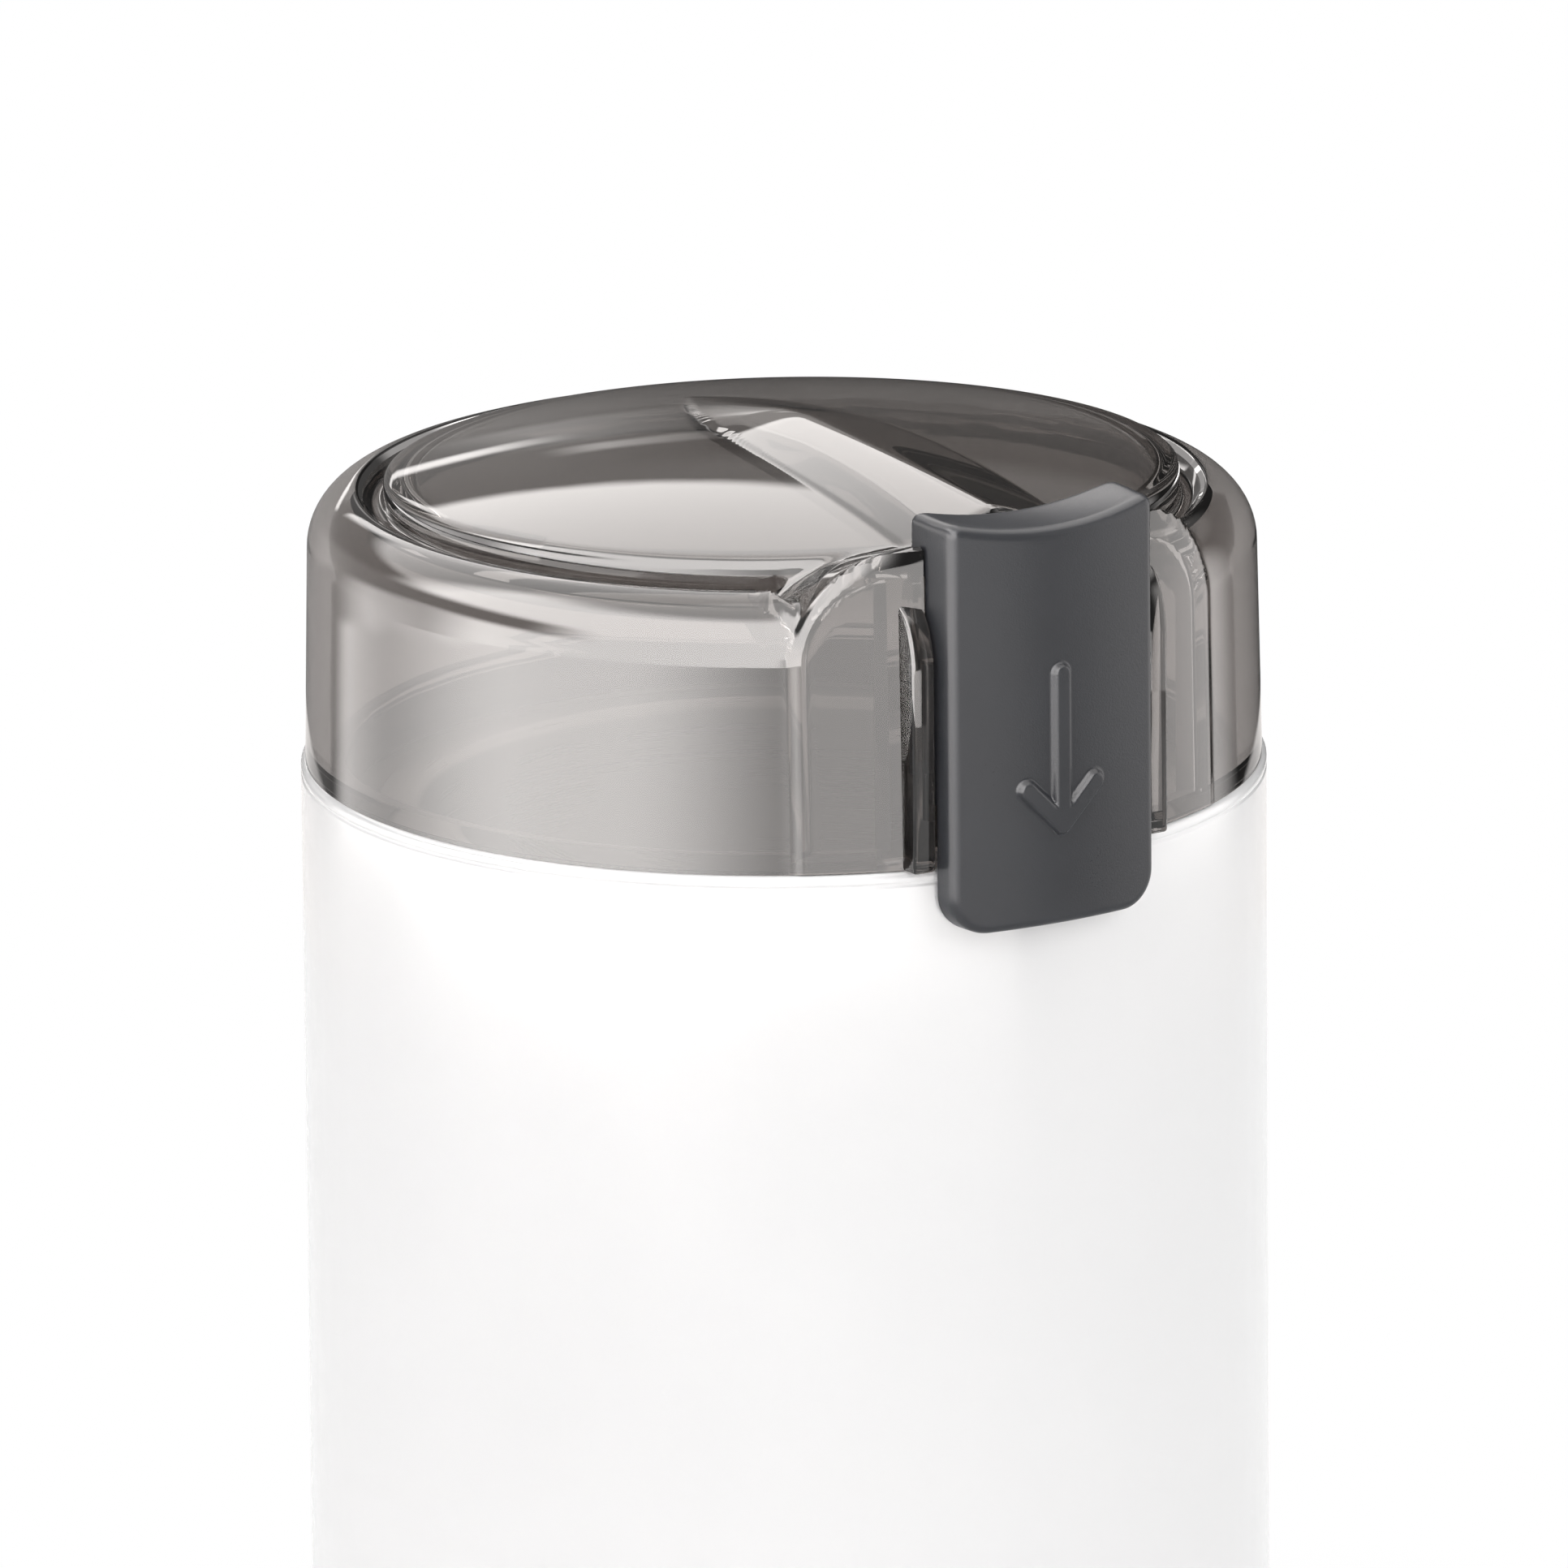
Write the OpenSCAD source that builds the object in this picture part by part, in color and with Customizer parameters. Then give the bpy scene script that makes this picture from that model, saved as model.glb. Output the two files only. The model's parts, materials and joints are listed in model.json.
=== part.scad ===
// Electric spice grinder: a motor base with a steel bowl and a spinning blade, under a smoked
// clear lid that carries the push button. Millimetres. +Z is up and the origin lies on the
// table under the middle of the body. The button faces -Y and the lead entry faces +Y.

/* [Body shell] */
// Outer diameter of the body shell
body_d = 88; // [87:0.5:92]
// Height of the shell's rim above the table
rim_z = 132.5; // [131:0.5:138]
// Wall thickness of the shell
body_wall = 2.2; // [1.8:0.1:2.4]
// Radius of the rim's outer edge
rim_round = 0.6; // [0.3:0.1:1]
// Radius of the shell's lower outer edge
foot_round = 1.8; // [1:0.1:2.1]
// Height of the shell's lower edge above the table
shell_lift = 2; // [1.5:0.25:3]
// How far the inner ledges reach in from the shell's wall
ledge_w = 2.2; // [1.6:0.1:2.4]
// Thickness of the inner ledges
ledge_t = 2.5; // [2:0.25:3]

/* [Lid] */
// How far the lid's foot stands inside the shell's outer face
lid_inset = 0.4; // [0.2:0.1:1]
// Draft of the lid's wall between its foot and its shoulder
lid_draft = 0.4; // [0.2:0.1:0.8]
// Wall thickness of the lid
lid_wall = 2.2; // [1.8:0.1:2.6]
// Height of the lid's straight wall
lid_side_h = 19.7; // [18.5:0.1:22]
// Radius of the lid's rounded shoulder
shoulder_r = 5.5; // [4.6:0.1:6]
// Width of the groove between the shoulder's crest and the dome
groove_w = 2.6; // [2.2:0.1:3.4]
// Depth of that groove under the crest
groove_depth = 1.3; // [0.8:0.1:1.8]
// Height of the dome's top above the rim
dome_top = 32.8; // [32:0.2:35]
// Radius of the dome's sphere
dome_curve_r = 100; // [90:1:120]
// How far the dome's middle lies from the axis, towards the button
dome_shift = 4.7; // [3:0.1:6]
// Height of the spine's ridge above the rim, at its far end
spine_top = 33; // [32.6:0.1:35]
// Fall of the ridge from its far end to the button
spine_fall = 2.4; // [1.6:0.1:2.8]
// Width of the spine where its flanks run into the dome
spine_w = 17; // [14:0.5:19]
// How far the spine starts behind the axis
spine_back = 1; // [0:0.5:8]
// Half width of the raised arch around the button
arch_half_w = 20.5; // [18:0.5:22]
// Height of the arch's flat top above the rim
arch_top = 30.3; // [29.5:0.1:31]
// Height above the rim at which the arch starts to close
arch_spring = 16; // [14:0.5:17]
// Depth of the spigot that enters the shell
spigot_h = 4; // [3:0.25:4.5]
// Wall thickness of the spigot
spigot_wall = 1.5; // [1.2:0.1:1.6]

/* [Button] */
// Width of the push button
button_w = 21; // [19:0.5:22]
// Height of the button's top above the rim
button_top = 32.4; // [31:0.1:33]
// How far the button hangs below the rim
button_drop = 5.8; // [5:0.2:8]
// How far the button's face stands outside the shell
button_stand = 3; // [2.8:0.1:4]
// Thickness of the button's face
button_plate = 2.5; // [2:0.1:2.6]
// Thickness of the button's side walls
button_side = 1.6; // [1.2:0.1:2]
// Depth of the button's head, from the shell's outer face inwards
head_in = 5.1; // [4.8:0.1:5.2]
// Height of the button's deeper head
head_h = 5.6; // [4:0.2:7]
// Height above the rim at which the side walls begin
side_start = 6; // [5:0.25:7]
// How far inside the shell's outer face the side walls end
side_in = 2.5; // [2:0.1:2.7]
// Radius of the button's lower corners
corner_r = 3.5; // [2:0.25:5]
// Depth of the finger dish in the button's top
dish_depth = 1; // [0.4:0.1:1.2]
// Travel of the button
button_travel = 4; // [3:0.25:4.5]
// Length of the raised arrow
arrow_len = 16; // [12:0.5:18]
// Half span of the arrow's head
arrow_span = 4.6; // [3:0.2:6]
// Width of the arrow's strokes
arrow_stroke = 2; // [1.4:0.1:2.6]
// How far the arrow stands out of the button's face
arrow_h = 0.4; // [0.2:0.1:0.6]
// Width of the foot that reaches into the shell
foot_w = 10; // [8:0.5:11]
// Thickness of that foot
foot_t = 2; // [1.6:0.1:2]
// How far the foot reaches below the rim at rest
foot_reach = 3; // [2.5:0.25:3.5]
// Width of the lid's guide rails beside the button
rail_w = 2.3; // [2:0.1:2.8]
// How far the rails' front edge lies inside the shell's outer face
rail_in = 0.4; // [0.2:0.1:0.8]
// Length of the lugs that hold the button in the rails
lug_len = 10; // [6:0.5:12]

/* [Bowl and blade] */
// Drop from the shell's rim to the deck around the bowl
deck_drop = 5; // [4.5:0.25:6]
// Room between the cup around the bowl and the push rod's slot
cup_gap = 1.4; // [1.2:0.1:3]
// Inner depth of the bowl
bowl_depth = 37.4; // [34:0.2:38]
// Thickness of the bowl's steel
bowl_t = 0.8; // [0.6:0.1:1]
// Radius between the bowl's wall and floor
bowl_corner = 8; // [5:0.5:12]
// Width of the bowl's flange
bowl_flange = 3.4; // [2.6:0.1:3.6]
// Thickness of the gasket under the flange
gasket_t = 0.6; // [0.4:0.1:1]
// Room between the blade's tips and the bowl's wall
blade_room = 3.5; // [3:0.25:8]
// Width of the blade
blade_w = 11; // [8:0.5:13]
// Thickness of the blade
blade_t = 1.5; // [1:0.1:2]
// Tilt of the blade's wings
blade_tilt = 16; // [6:1:20]
// Height of the bush under the blade
bush_h = 4; // [3.5:0.25:6]
// Radius of the bush under the blade
bush_r = 6; // [5:0.25:7]
// Height of the nut above the blade
nut_h = 5; // [4:0.25:7]
// Radius of the rubber seal's flange
seal_flange_r = 9.5; // [9:0.25:11]
// Thickness of the seal's flange
seal_flange_t = 1.1; // [0.8:0.1:1.5]

/* [Chassis] */
// Thickness of the chassis walls around the bowl
chassis_wall = 2; // [1.6:0.1:2.2]
// Thickness of the chassis floor
chassis_floor = 3; // [2.5:0.25:4]
// Clearance between the bowl and the chassis
bowl_room = 1.2; // [0.8:0.1:1.2]
// Height of the air gap under the bowl
floor_room = 1.7; // [1:0.1:2.5]
// Radius of the chassis legs
leg_r = 3.6; // [3.2:0.1:3.8]
// Room between the legs and the shell
leg_room = 2.4; // [2:0.1:3.4]
// Radius of the screws' shanks
screw_r = 1.5; // [1.2:0.1:1.7]
// Length of the base screws' shanks
base_screw_len = 16; // [10:0.5:22]

/* [Motor] */
// Radius of the motor shaft
shaft_r = 3; // [2.5:0.1:3.2]
// Outer radius of the ball bearings
bearing_r = 9.5; // [9:0.25:10]
// Width of the ball bearings
bearing_w = 6; // [5:0.25:6.5]
// Thickness of the motor brackets
bracket_t = 3; // [2:0.25:3.5]
// Wall around the bearing in each bracket
boss_wall = 2; // [1.5:0.1:2.5]
// Height of the laminated cores
core_h = 24; // [20:0.5:26]
// Thickness of each pole's shoe
shoe_t = 2; // [1.6:0.1:2.4]
// Depth of the room for each field coil, between its shoe and the yoke
coil_room = 3; // [2.6:0.1:4]
// Room between the bore and the yokes beside the screws
side_room = 0.6; // [0.4:0.1:1.2]
// Air gap between the armature and the stator
air_gap = 0.6; // [0.4:0.1:0.8]
// Stator width across the screws
stator_w = 42; // [41:0.5:43]
// Stator depth across the poles
stator_d = 48; // [47:0.5:49]
// Yoke thickness beside the screws
yoke_x = 4.8; // [4.4:0.1:5]
// Yoke thickness behind the poles
yoke_y = 3.4; // [3:0.1:3.6]
// Width of each pole's neck
pole_w = 14; // [12:0.5:15]
// Width of each field coil's winding beside its pole
coil_w = 6.2; // [5:0.1:6.4]
// How far the field coils stand out above and below the core
coil_over = 4; // [3:0.25:4.5]
// Height of the armature's end windings
winding_h = 7; // [5:0.25:7.5]
// Room between the core and the brackets
end_room = 9; // [8.5:0.25:10]
// Radius of the commutator
commutator_r = 10; // [9:0.25:10.5]
// Length of the commutator
commutator_h = 10; // [8.5:0.25:10.5]
// Side of each square carbon brush
brush_w = 5; // [4:0.25:5.5]
// Length of each carbon brush
brush_len = 9; // [7:0.5:10]
// Length of each brush holder
holder_len = 16; // [15:0.5:16.5]
// Outer side of each square brush holder
holder_w = 8; // [7.5:0.25:9]
// Room between the cooling fan and the terminal block
fan_room = 1.2; // [0.9:0.1:3]
// Height of the cooling fan
fan_h = 8.5; // [6:0.25:9]
// Number of fan vanes
fan_vanes = 9; // [7:1:13]

/* [Switch] */
// Length of the switch case
switch_len = 20; // [19:0.5:21]
// Height of the switch case
switch_h = 10; // [8:0.5:11]
// Thickness of the switch case
switch_t = 6.4; // [6:0.1:6.6]
// Room between the switch case and the shell
switch_room = 4.4; // [3.6:0.1:5]
// Distance from the switch lever's hinge to the push rod
lever_arm = 16; // [15:0.25:17]
// Distance from the lever's hinge to the switch plunger
plunger_arm = 4; // [3.5:0.1:5]
// Thickness of the switch lever
lever_t = 0.5; // [0.4:0.1:0.8]
// Radius of the push rod's stem
stem_r = 1.6; // [1.3:0.05:1.7]
// Width of the push rod
rod_w = 8; // [6:0.5:8.5]
// Length of the return spring at rest
spring_len = 14; // [13:0.25:15]
// Thickness of the push rod's foot
rod_foot_t = 4; // [3:0.25:4.5]

/* [Base] */
// Thickness of the base plate
base_t = 3; // [2.5:0.25:4]
// How far inside the base plate's edge the rubber feet end
pad_room = 1.5; // [1:0.1:3]
// Radius of each rubber foot
pad_r = 6; // [5:0.25:6.5]
// Number of air slots in the base plate
vent_count = 18; // [12:1:22]
// Width of each air slot
vent_w = 2.4; // [1.6:0.1:2.8]
// Height of the lead entry above the table
gland_z = 14; // [13:0.5:22]
// Radius of the bore that the mains lead passes
gland_bore_r = 3.6; // [3:0.1:4]
// How far the gland stands out of the shell
gland_out = 3.4; // [2.8:0.1:4.5]

/* [Clearances] */
// Radial clearance of shafts and rods that turn or slide in a bore
run_gap = 0.05; // [0.02:0.01:0.1]
// Clearance of parts that are seated and do not move
seat_gap = 0.05; // [0.02:0.01:0.1]
// Clearance between parts that pass without touching
pass_gap = 0.3; // [0.25:0.05:0.4]
// Clearance on each side of the button in its channel
button_gap = 0.7; // [0.6:0.05:0.9]

/* [Hidden] */
$fn = 96;
eps = 0.01;                                   // overlap that makes a cut or a joint clean
far = 80;                                     // longer than any part it cuts

// Body shell
body_r = body_d / 2;
body_in = body_r - body_wall;
base_z = shell_lift + base_t;                 // top of the base plate
deck_z = rim_z - deck_drop;                   // top of the deck around the bowl
deck_t = 2.5;
ledge_top = deck_z - deck_t;                  // the deck's flange lies on this ledge
ledge_in = body_in - ledge_w;
inset_r = body_in - pass_gap;                 // discs that lie inside the shell

// Lid, heights above the rim
lid_r = body_r - lid_inset;
lid_top_r = lid_r - lid_draft;
crest_r = lid_top_r - shoulder_r;
crest_z = lid_side_h + shoulder_r;
groove_r = crest_r + 0.2 * shoulder_r;        // where the shoulder falls into the groove
dome_r = groove_r - groove_w;
dome_z = dome_top - dome_curve_r;
spigot_r = body_in - pass_gap - run_gap;
spigot_in = spigot_r - spigot_wall;
boss_r = lid_top_r + lid_draft / 4;           // face of the raised arch
roof_top = arch_top;

// Button, distances from the axis towards -Y
face_r = body_r + button_stand;
plate_in_r = face_r - button_plate;
head_back = body_r - head_in;
side_back = body_r - side_in;
channel_back = head_back - 0.5;
channel_half = button_w / 2 + button_gap;
rail_out = channel_half + rail_w;
rail_front = body_r - rail_in;
back_wall = 2;                                // wall between the channel and the lid's inside
head_bottom = button_top - head_h;
cap_t = 2;                                    // thickness of the button's top
lug_d = 1;                                    // depth of a lug across the rail
lug_w = button_gap + 0.55;                    // how far a lug stands out of the side wall
lug_z = 9;                                    // lower end of a lug above the rim
arrow_tip = 2.5;                              // height of the arrow's tip above the rim

// Bowl, chassis and blade
flange_z = deck_z + gasket_t;
bowl_floor_z = flange_z + bowl_t - bowl_depth;
cup_r = channel_back - cup_gap;
cup_in = cup_r - chassis_wall;
bowl_out = cup_in - bowl_room;
bowl_r = bowl_out - bowl_t;
blade_r = bowl_r - blade_room;
floor_top = bowl_floor_z - bowl_t - floor_room;
floor_z = floor_top - chassis_floor;          // underside of the chassis floor
seal_neck_r = 8;
seal_top = bowl_floor_z + seal_flange_t;
bush_z = seal_top + pass_gap;
blade_z = bush_z + bush_h;
nut_z = blade_z + blade_t;
nut_r = bush_r - 0.8;
leg_angles = [35, 145, 215, 325];            // beside the stator, clear of its corners
leg_pos = inset_r - leg_room - leg_r;

// Motor, from the chassis floor downwards
shaft_gap_r = shaft_r + run_gap;
press_r = shaft_r + 0.02;                     // bores that are pressed on the shaft
bearing_hole = bearing_r + seat_gap;
boss_r_out = bearing_hole + boss_wall;
lip = 0.45;                                   // lip that the bearing rests on
upper_boss_top = floor_z - 0.4;
upper_bearing_z = upper_boss_top - bearing_w;
upper_bracket_z = upper_bearing_z - lip - seat_gap;
core_top = upper_bracket_z - end_room;
core_z = core_top - core_h;
commutator_top = core_z - end_room;
commutator_z = commutator_top - commutator_h;
lower_bracket_top = commutator_z - 1;
lower_bracket_z = lower_bracket_top - bracket_t;
lower_bearing_z = lower_bracket_top - lip - seat_gap - bearing_w;
lower_boss_z = lower_bearing_z - 1;
fan_top = lower_boss_z - 1;
fan_z = fan_top - fan_h;
shaft_z = fan_z - 1;
screw_x = stator_w / 2 - yoke_x / 2;          // long motor screws
screw_hole = screw_r + seat_gap;
head_r = screw_r + 1.4;
bracket_half = screw_x + 4.4;
window_x = stator_w / 2 - yoke_x;
window_y = stator_d / 2 - yoke_y;
bore_r = min(window_x - side_room, window_y - coil_room - shoe_t);
armature_r = bore_r - air_gap;
shoe_r = bore_r + shoe_t;
shoe_half = window_x - 3.2;
brush_z = lower_bracket_top + holder_w / 2 + 1;
brush_gap = 0.1;
holder_y = commutator_r + 1.2;
holder_end = holder_y + holder_len;

// Switch and push rod
plate_t = 2.5;
plate_front = body_in - switch_room - switch_t;
plate_y = plate_front - plate_t;              // back face of the switch plate, towards -Y
stem_s = plate_front + switch_t / 2;
lever_angle = atan(button_travel / lever_arm);
tip_rise = button_travel + stem_r + lever_t / 2 + 0.35;
rod_foot_z = floor_z - 3 - rod_foot_t;
guide_top = rod_foot_z - spring_len;
guide_t = 3;
tip_z = guide_top - guide_t - 2;              // middle of the stem's round tip
hinge_z = tip_z - tip_rise;
hinge_x = -lever_arm;
hinge_rise = 1.4;
switch_top = hinge_z - hinge_rise;
switch_x = hinge_x - 1;                       // left end of the case
plunger_r = 1.05;
plunger_x = hinge_x + plunger_arm;
plunger_gap = 0.15;
plunger_top = hinge_z + (plunger_arm - plunger_r) * tan(lever_angle)
  - lever_t / 2 / cos(lever_angle) - plunger_gap;
pin_r = 0.5;
ear_t = 1;
lever_half = switch_t / 2 - ear_t - pass_gap - 0.2;
rod_top = rim_z - foot_reach - pass_gap;
rod_s = channel_back + 0.6;                   // back face of the rod's flat bar
rod_t = 1.9;
slot_half = foot_w / 2 + 2 * pass_gap;

tab_len = 5;                                  // length of each switch terminal
switch_screw_x = [switch_x + 2.6, switch_x + switch_len - 2.6];
switch_screw_z = switch_top - switch_h + 2.4;

// Base, lead entry and wiring
pad_stem_r = 2;
pad_head_r = pad_stem_r + 1;
pad_pos = inset_r - pad_room - pad_r;         // distance of the feet from the axis
pad_angles = [0, 90, 180, 270];
screw_head_t = 1.6;
screw_seat = 1.8;                             // depth of a screw head's seat in the base plate
gland_neck_r = gland_bore_r + 1.4;
gland_flange_r = gland_neck_r + 1.8;
tray_x = bracket_half + 1.5;                  // where the suppressor begins on its tray
tray_len = 8.5;
tray_half = 8;
cap_h = 14;                                   // height of the suppressor
terminal_w = 16;
terminal_d = 4.8;
terminal_h = 8;
terminal_y = pad_pos - pad_head_r - 0.5 - terminal_d;
fan_r = terminal_y - fan_room;
lead_r = 0.9;
lead_reference = [0.1, 0.2, 1];               // sets the turn of a wire's rings

function arc(cx, cy, r, from, to, n) =
  [for (i = [0 : n]) let (a = from + (to - from) * i / n) [cx + r * cos(a), cy + r * sin(a)]];

// A plain ring between two heights
module ring(r_out, r_in, z0, z1) {
  translate([0, 0, z0])
    difference() {
      cylinder(r = r_out, h = z1 - z0);
      translate([0, 0, -1]) cylinder(r = r_in, h = z1 - z0 + 2);
    }
}

module disc(r, z0, z1) {
  translate([0, 0, z0]) cylinder(r = r, h = z1 - z0);
}

// A block between opposite corners
module block(low, high) {
  translate(low) cube(high - low);
}

// A block in front of the axis: x from -half to half, s0 to s1 from the axis towards -Y
module front_block(half, s0, s1, z0, z1) {
  block([-half, -s1, z0], [half, -s0, z1]);
}

// An outline in x and z, extruded towards -Y from s0 to s1
module front_prism(s0, s1) {
  translate([0, -s0, 0]) rotate([90, 0, 0]) linear_extrude(s1 - s0) children();
}

module at_angles(radius, angles) {
  for (a = angles)
    rotate([0, 0, a]) translate([radius, 0, 0]) children();
}

module left_and_right(x) {
  for (side = [-1, 1])
    translate([side * x, 0, 0]) children();
}

module round_rect(half_x, half_y, r) {
  square([2 * half_x, 2 * (half_y - r)], center = true);
  square([2 * (half_x - r), 2 * half_y], center = true);
  for (sx = [-1, 1], sy = [-1, 1])
    translate([sx * (half_x - r), sy * (half_y - r)]) circle(r = r);
}

// A coil of round wire along +Z from 0 to len, as one swept tube
module coil(mean_r, wire_r, len, turns) {
  sides = 6;
  steps = turns * 12;
  rise = len - 2 * wire_r;
  points = [for (i = [0 : steps], k = [0 : sides - 1])
    let (a = 360 * turns * i / steps, b = 360 * k / sides, r = mean_r + wire_r * cos(b))
    [r * cos(a), r * sin(a), wire_r + rise * i / steps + wire_r * sin(b)]];
  walls = [for (i = [0 : steps - 1], k = [0 : sides - 1])
    let (m = (k + 1) % sides)
    [i * sides + k, (i + 1) * sides + k, (i + 1) * sides + m, i * sides + m]];
  first = [for (k = [0 : sides - 1]) k];
  last = [for (k = [sides - 1 : -1 : 0]) steps * sides + k];
  polyhedron(points = points, faces = concat([first], walls, [last]), convexity = 8);
}

function unit(v) = v / norm(v);

// An insulated wire through a list of points, as one tube with a ring at each point
module lead(points, r) {
  sides = 8;
  last = len(points) - 1;
  rings = [for (i = [0 : last])
    let (along = unit(points[min(i + 1, last)] - points[max(i - 1, 0)]),
      across = unit(cross(along, lead_reference)), over = cross(along, across))
    for (k = [0 : sides - 1])
      let (a = 360 * k / sides)
      points[i] + r * cos(a) * across + r * sin(a) * over];
  walls = [for (i = [0 : last - 1], k = [0 : sides - 1])
    let (m = (k + 1) % sides)
    [i * sides + k, i * sides + m, (i + 1) * sides + m, (i + 1) * sides + k]];
  near_end = [for (k = [sides - 1 : -1 : 0]) k];
  far_end = [for (k = [0 : sides - 1]) last * sides + k];
  polyhedron(points = rings, faces = concat([near_end], walls, [far_end]), convexity = 6);
}

// ---- Body ----

// White shell: a straight tube with a rounded rim and two inner ledges
module housing() {
  base_ledge_in = inset_r - 1.5;
  color("white")
    difference() {
      rotate_extrude()
        polygon(concat(
          [[body_in, shell_lift], [body_r - foot_round, shell_lift]],
          arc(body_r - foot_round, shell_lift + foot_round, foot_round, -90, 0, 6),
          arc(body_r - rim_round, rim_z - rim_round, rim_round, 0, 90, 4),
          [[body_in, rim_z], [body_in, ledge_top], [ledge_in, ledge_top],
            [ledge_in, ledge_top - ledge_t], [body_in, ledge_top - ledge_t - ledge_w],
            [body_in, base_z + 2], [base_ledge_in, base_z + 2], [base_ledge_in, base_z],
            [body_in, base_z]]));
      front_block(rod_w / 2 + 2 * pass_gap, cup_r, body_in - eps,
        ledge_top - ledge_t - ledge_w - 1, ledge_top + 1);
      translate([0, body_in - 3, gland_z])
        rotate([-90, 0, 0]) cylinder(r = gland_neck_r + seat_gap, h = body_wall + 6);
    }
}

// Floor of the grinder, with air slots, screw seats and holes for the feet
module base_plate() {
  color("whitesmoke")
    difference() {
      disc(inset_r, shell_lift, base_z);
      at_angles(pad_pos, pad_angles)
        disc(pad_stem_r + seat_gap, 0, base_z + 1);
      at_angles(leg_pos, leg_angles) {
        disc(screw_hole, 0, base_z + 1);
        disc(head_r + 0.4, 0, shell_lift + screw_seat);
      }
      for (i = [0 : vent_count - 1])
        rotate([0, 0, 360 * (i + 0.5) / vent_count])
          block([13, -vent_w / 2, 0], [fan_r + 2, vent_w / 2, base_z + 1]);
    }
}

// Four rubber feet, each a pad, a stem through the base plate and a retaining head
module rubber_feet() {
  color("dimgray")
    at_angles(pad_pos, pad_angles)
      rotate_extrude()
        polygon([[0, 0], [pad_r - 0.8, 0], [pad_r, 0.8], [pad_r, shell_lift], [pad_stem_r, shell_lift],
          [pad_stem_r, base_z], [pad_head_r, base_z], [pad_stem_r + 0.4, base_z + 1.2],
          [0, base_z + 1.2]]);
}

// A screw pointing up: its head starts at z and its shank is len long
module screw(z, len) {
  difference() {
    disc(head_r, z, z + screw_head_t);
    front_block(head_r + 1, -0.4, 0.4, z - 1, z + 0.7);
  }
  disc(screw_r, z + screw_head_t - eps, z + screw_head_t + len);
}

module base_screws() {
  color("silver")
    at_angles(leg_pos, leg_angles)
      screw(shell_lift + screw_seat - screw_head_t, base_screw_len);
}

// Rubber grommet that lines the lead entry at the back of the shell
module lead_gland() {
  inner_end = body_in - 2.8;
  color("dimgray")
    translate([0, 0, gland_z])
      rotate([-90, 0, 0])
        rotate_extrude()
          polygon([[gland_bore_r, inner_end], [gland_flange_r, inner_end],
            [gland_flange_r, inner_end + 2], [gland_neck_r, inner_end + 2],
            [gland_neck_r, body_r + 0.1], [gland_flange_r, body_r + 0.1],
            [gland_flange_r, body_r + 1.6], [gland_flange_r - 1.4, body_r + gland_out],
            [gland_bore_r, body_r + gland_out]]);
}

// ---- Bowl and its chassis ----

// Plastic frame: deck flange, cup around the bowl, four long legs, motor posts and the switch plate
module bowl_chassis() {
  plate_left = switch_x - 2;
  color("gainsboro")
    difference() {
      union() {
        rotate_extrude()
          polygon([[seal_neck_r + seat_gap, floor_z], [cup_r, floor_z], [cup_r, ledge_top],
            [inset_r, ledge_top], [inset_r, deck_z], [cup_in, deck_z], [cup_in, floor_top],
            [seal_neck_r + seat_gap, floor_top]]);
        at_angles(leg_pos, leg_angles) disc(leg_r, base_z, floor_top - chassis_floor / 3);
        left_and_right(screw_x) disc(head_r + 0.8, upper_bracket_z + bracket_t, floor_z + eps);
        block([plate_left, -plate_front, switch_top - switch_h - 2.5],
          [-hinge_x / 2, -plate_y, floor_z + eps]);
        front_block(5, plate_front - eps, plate_front + 7.5, guide_top - guide_t, guide_top);
      }
      front_block(slot_half, channel_back, far, ledge_top - 1, deck_z + 1);
      at_angles(leg_pos, leg_angles) disc(screw_hole, base_z - 1, base_z + base_screw_len);
      left_and_right(screw_x) disc(screw_hole, upper_bracket_z, floor_z + 2);
      translate([0, -stem_s, 0]) disc(stem_r + run_gap, guide_top - guide_t - 1, guide_top + 1);
      for (x = switch_screw_x)
        translate([x, -plate_front - 1, switch_screw_z])
          rotate([-90, 0, 0]) cylinder(r = 1 + seat_gap, h = plate_t + 2);
      for (a = [0 : 7])
        rotate([0, 0, 22.5 + 45 * a])
          block([bearing_r + 7, -2, floor_z - 1], [cup_in - 5, 2, floor_top + 1]);
    }
}

// Pressed steel bowl with a rounded corner and a flange that lies on the gasket
module grinding_bowl() {
  hole_r = seal_neck_r - 1;
  corner_out = bowl_corner + bowl_t;
  flange_r = bowl_out + bowl_flange;
  color("silver")
    rotate_extrude()
      polygon(concat(
        [[hole_r, bowl_floor_z - bowl_t]],
        arc(bowl_out - corner_out, bowl_floor_z + bowl_corner, corner_out, -90, 0, 10),
        [[bowl_out, flange_z], [flange_r, flange_z], [flange_r, flange_z + bowl_t],
          [bowl_r, flange_z + bowl_t]],
        arc(bowl_r - bowl_corner, bowl_floor_z + bowl_corner, bowl_corner, 0, -90, 10),
        [[hole_r, bowl_floor_z]]));
}

module bowl_gasket() {
  color("dimgray")
    ring(bowl_out + bowl_flange - 0.3, cup_in + 0.3, deck_z, flange_z);
}

// Rubber seal that closes the bowl around the shaft
module shaft_seal() {
  under = bowl_floor_z - bowl_t;
  color("black")
    rotate_extrude()
      polygon([[shaft_gap_r, floor_z + 0.3], [seal_neck_r, floor_z + 0.3], [seal_neck_r, under],
        [seal_neck_r - 1 - seat_gap, under], [seal_neck_r - 1 - seat_gap, bowl_floor_z],
        [seal_flange_r, bowl_floor_z], [seal_flange_r - 0.6, seal_top], [shaft_gap_r, seal_top]]);
}

// ---- Lid ----

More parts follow.
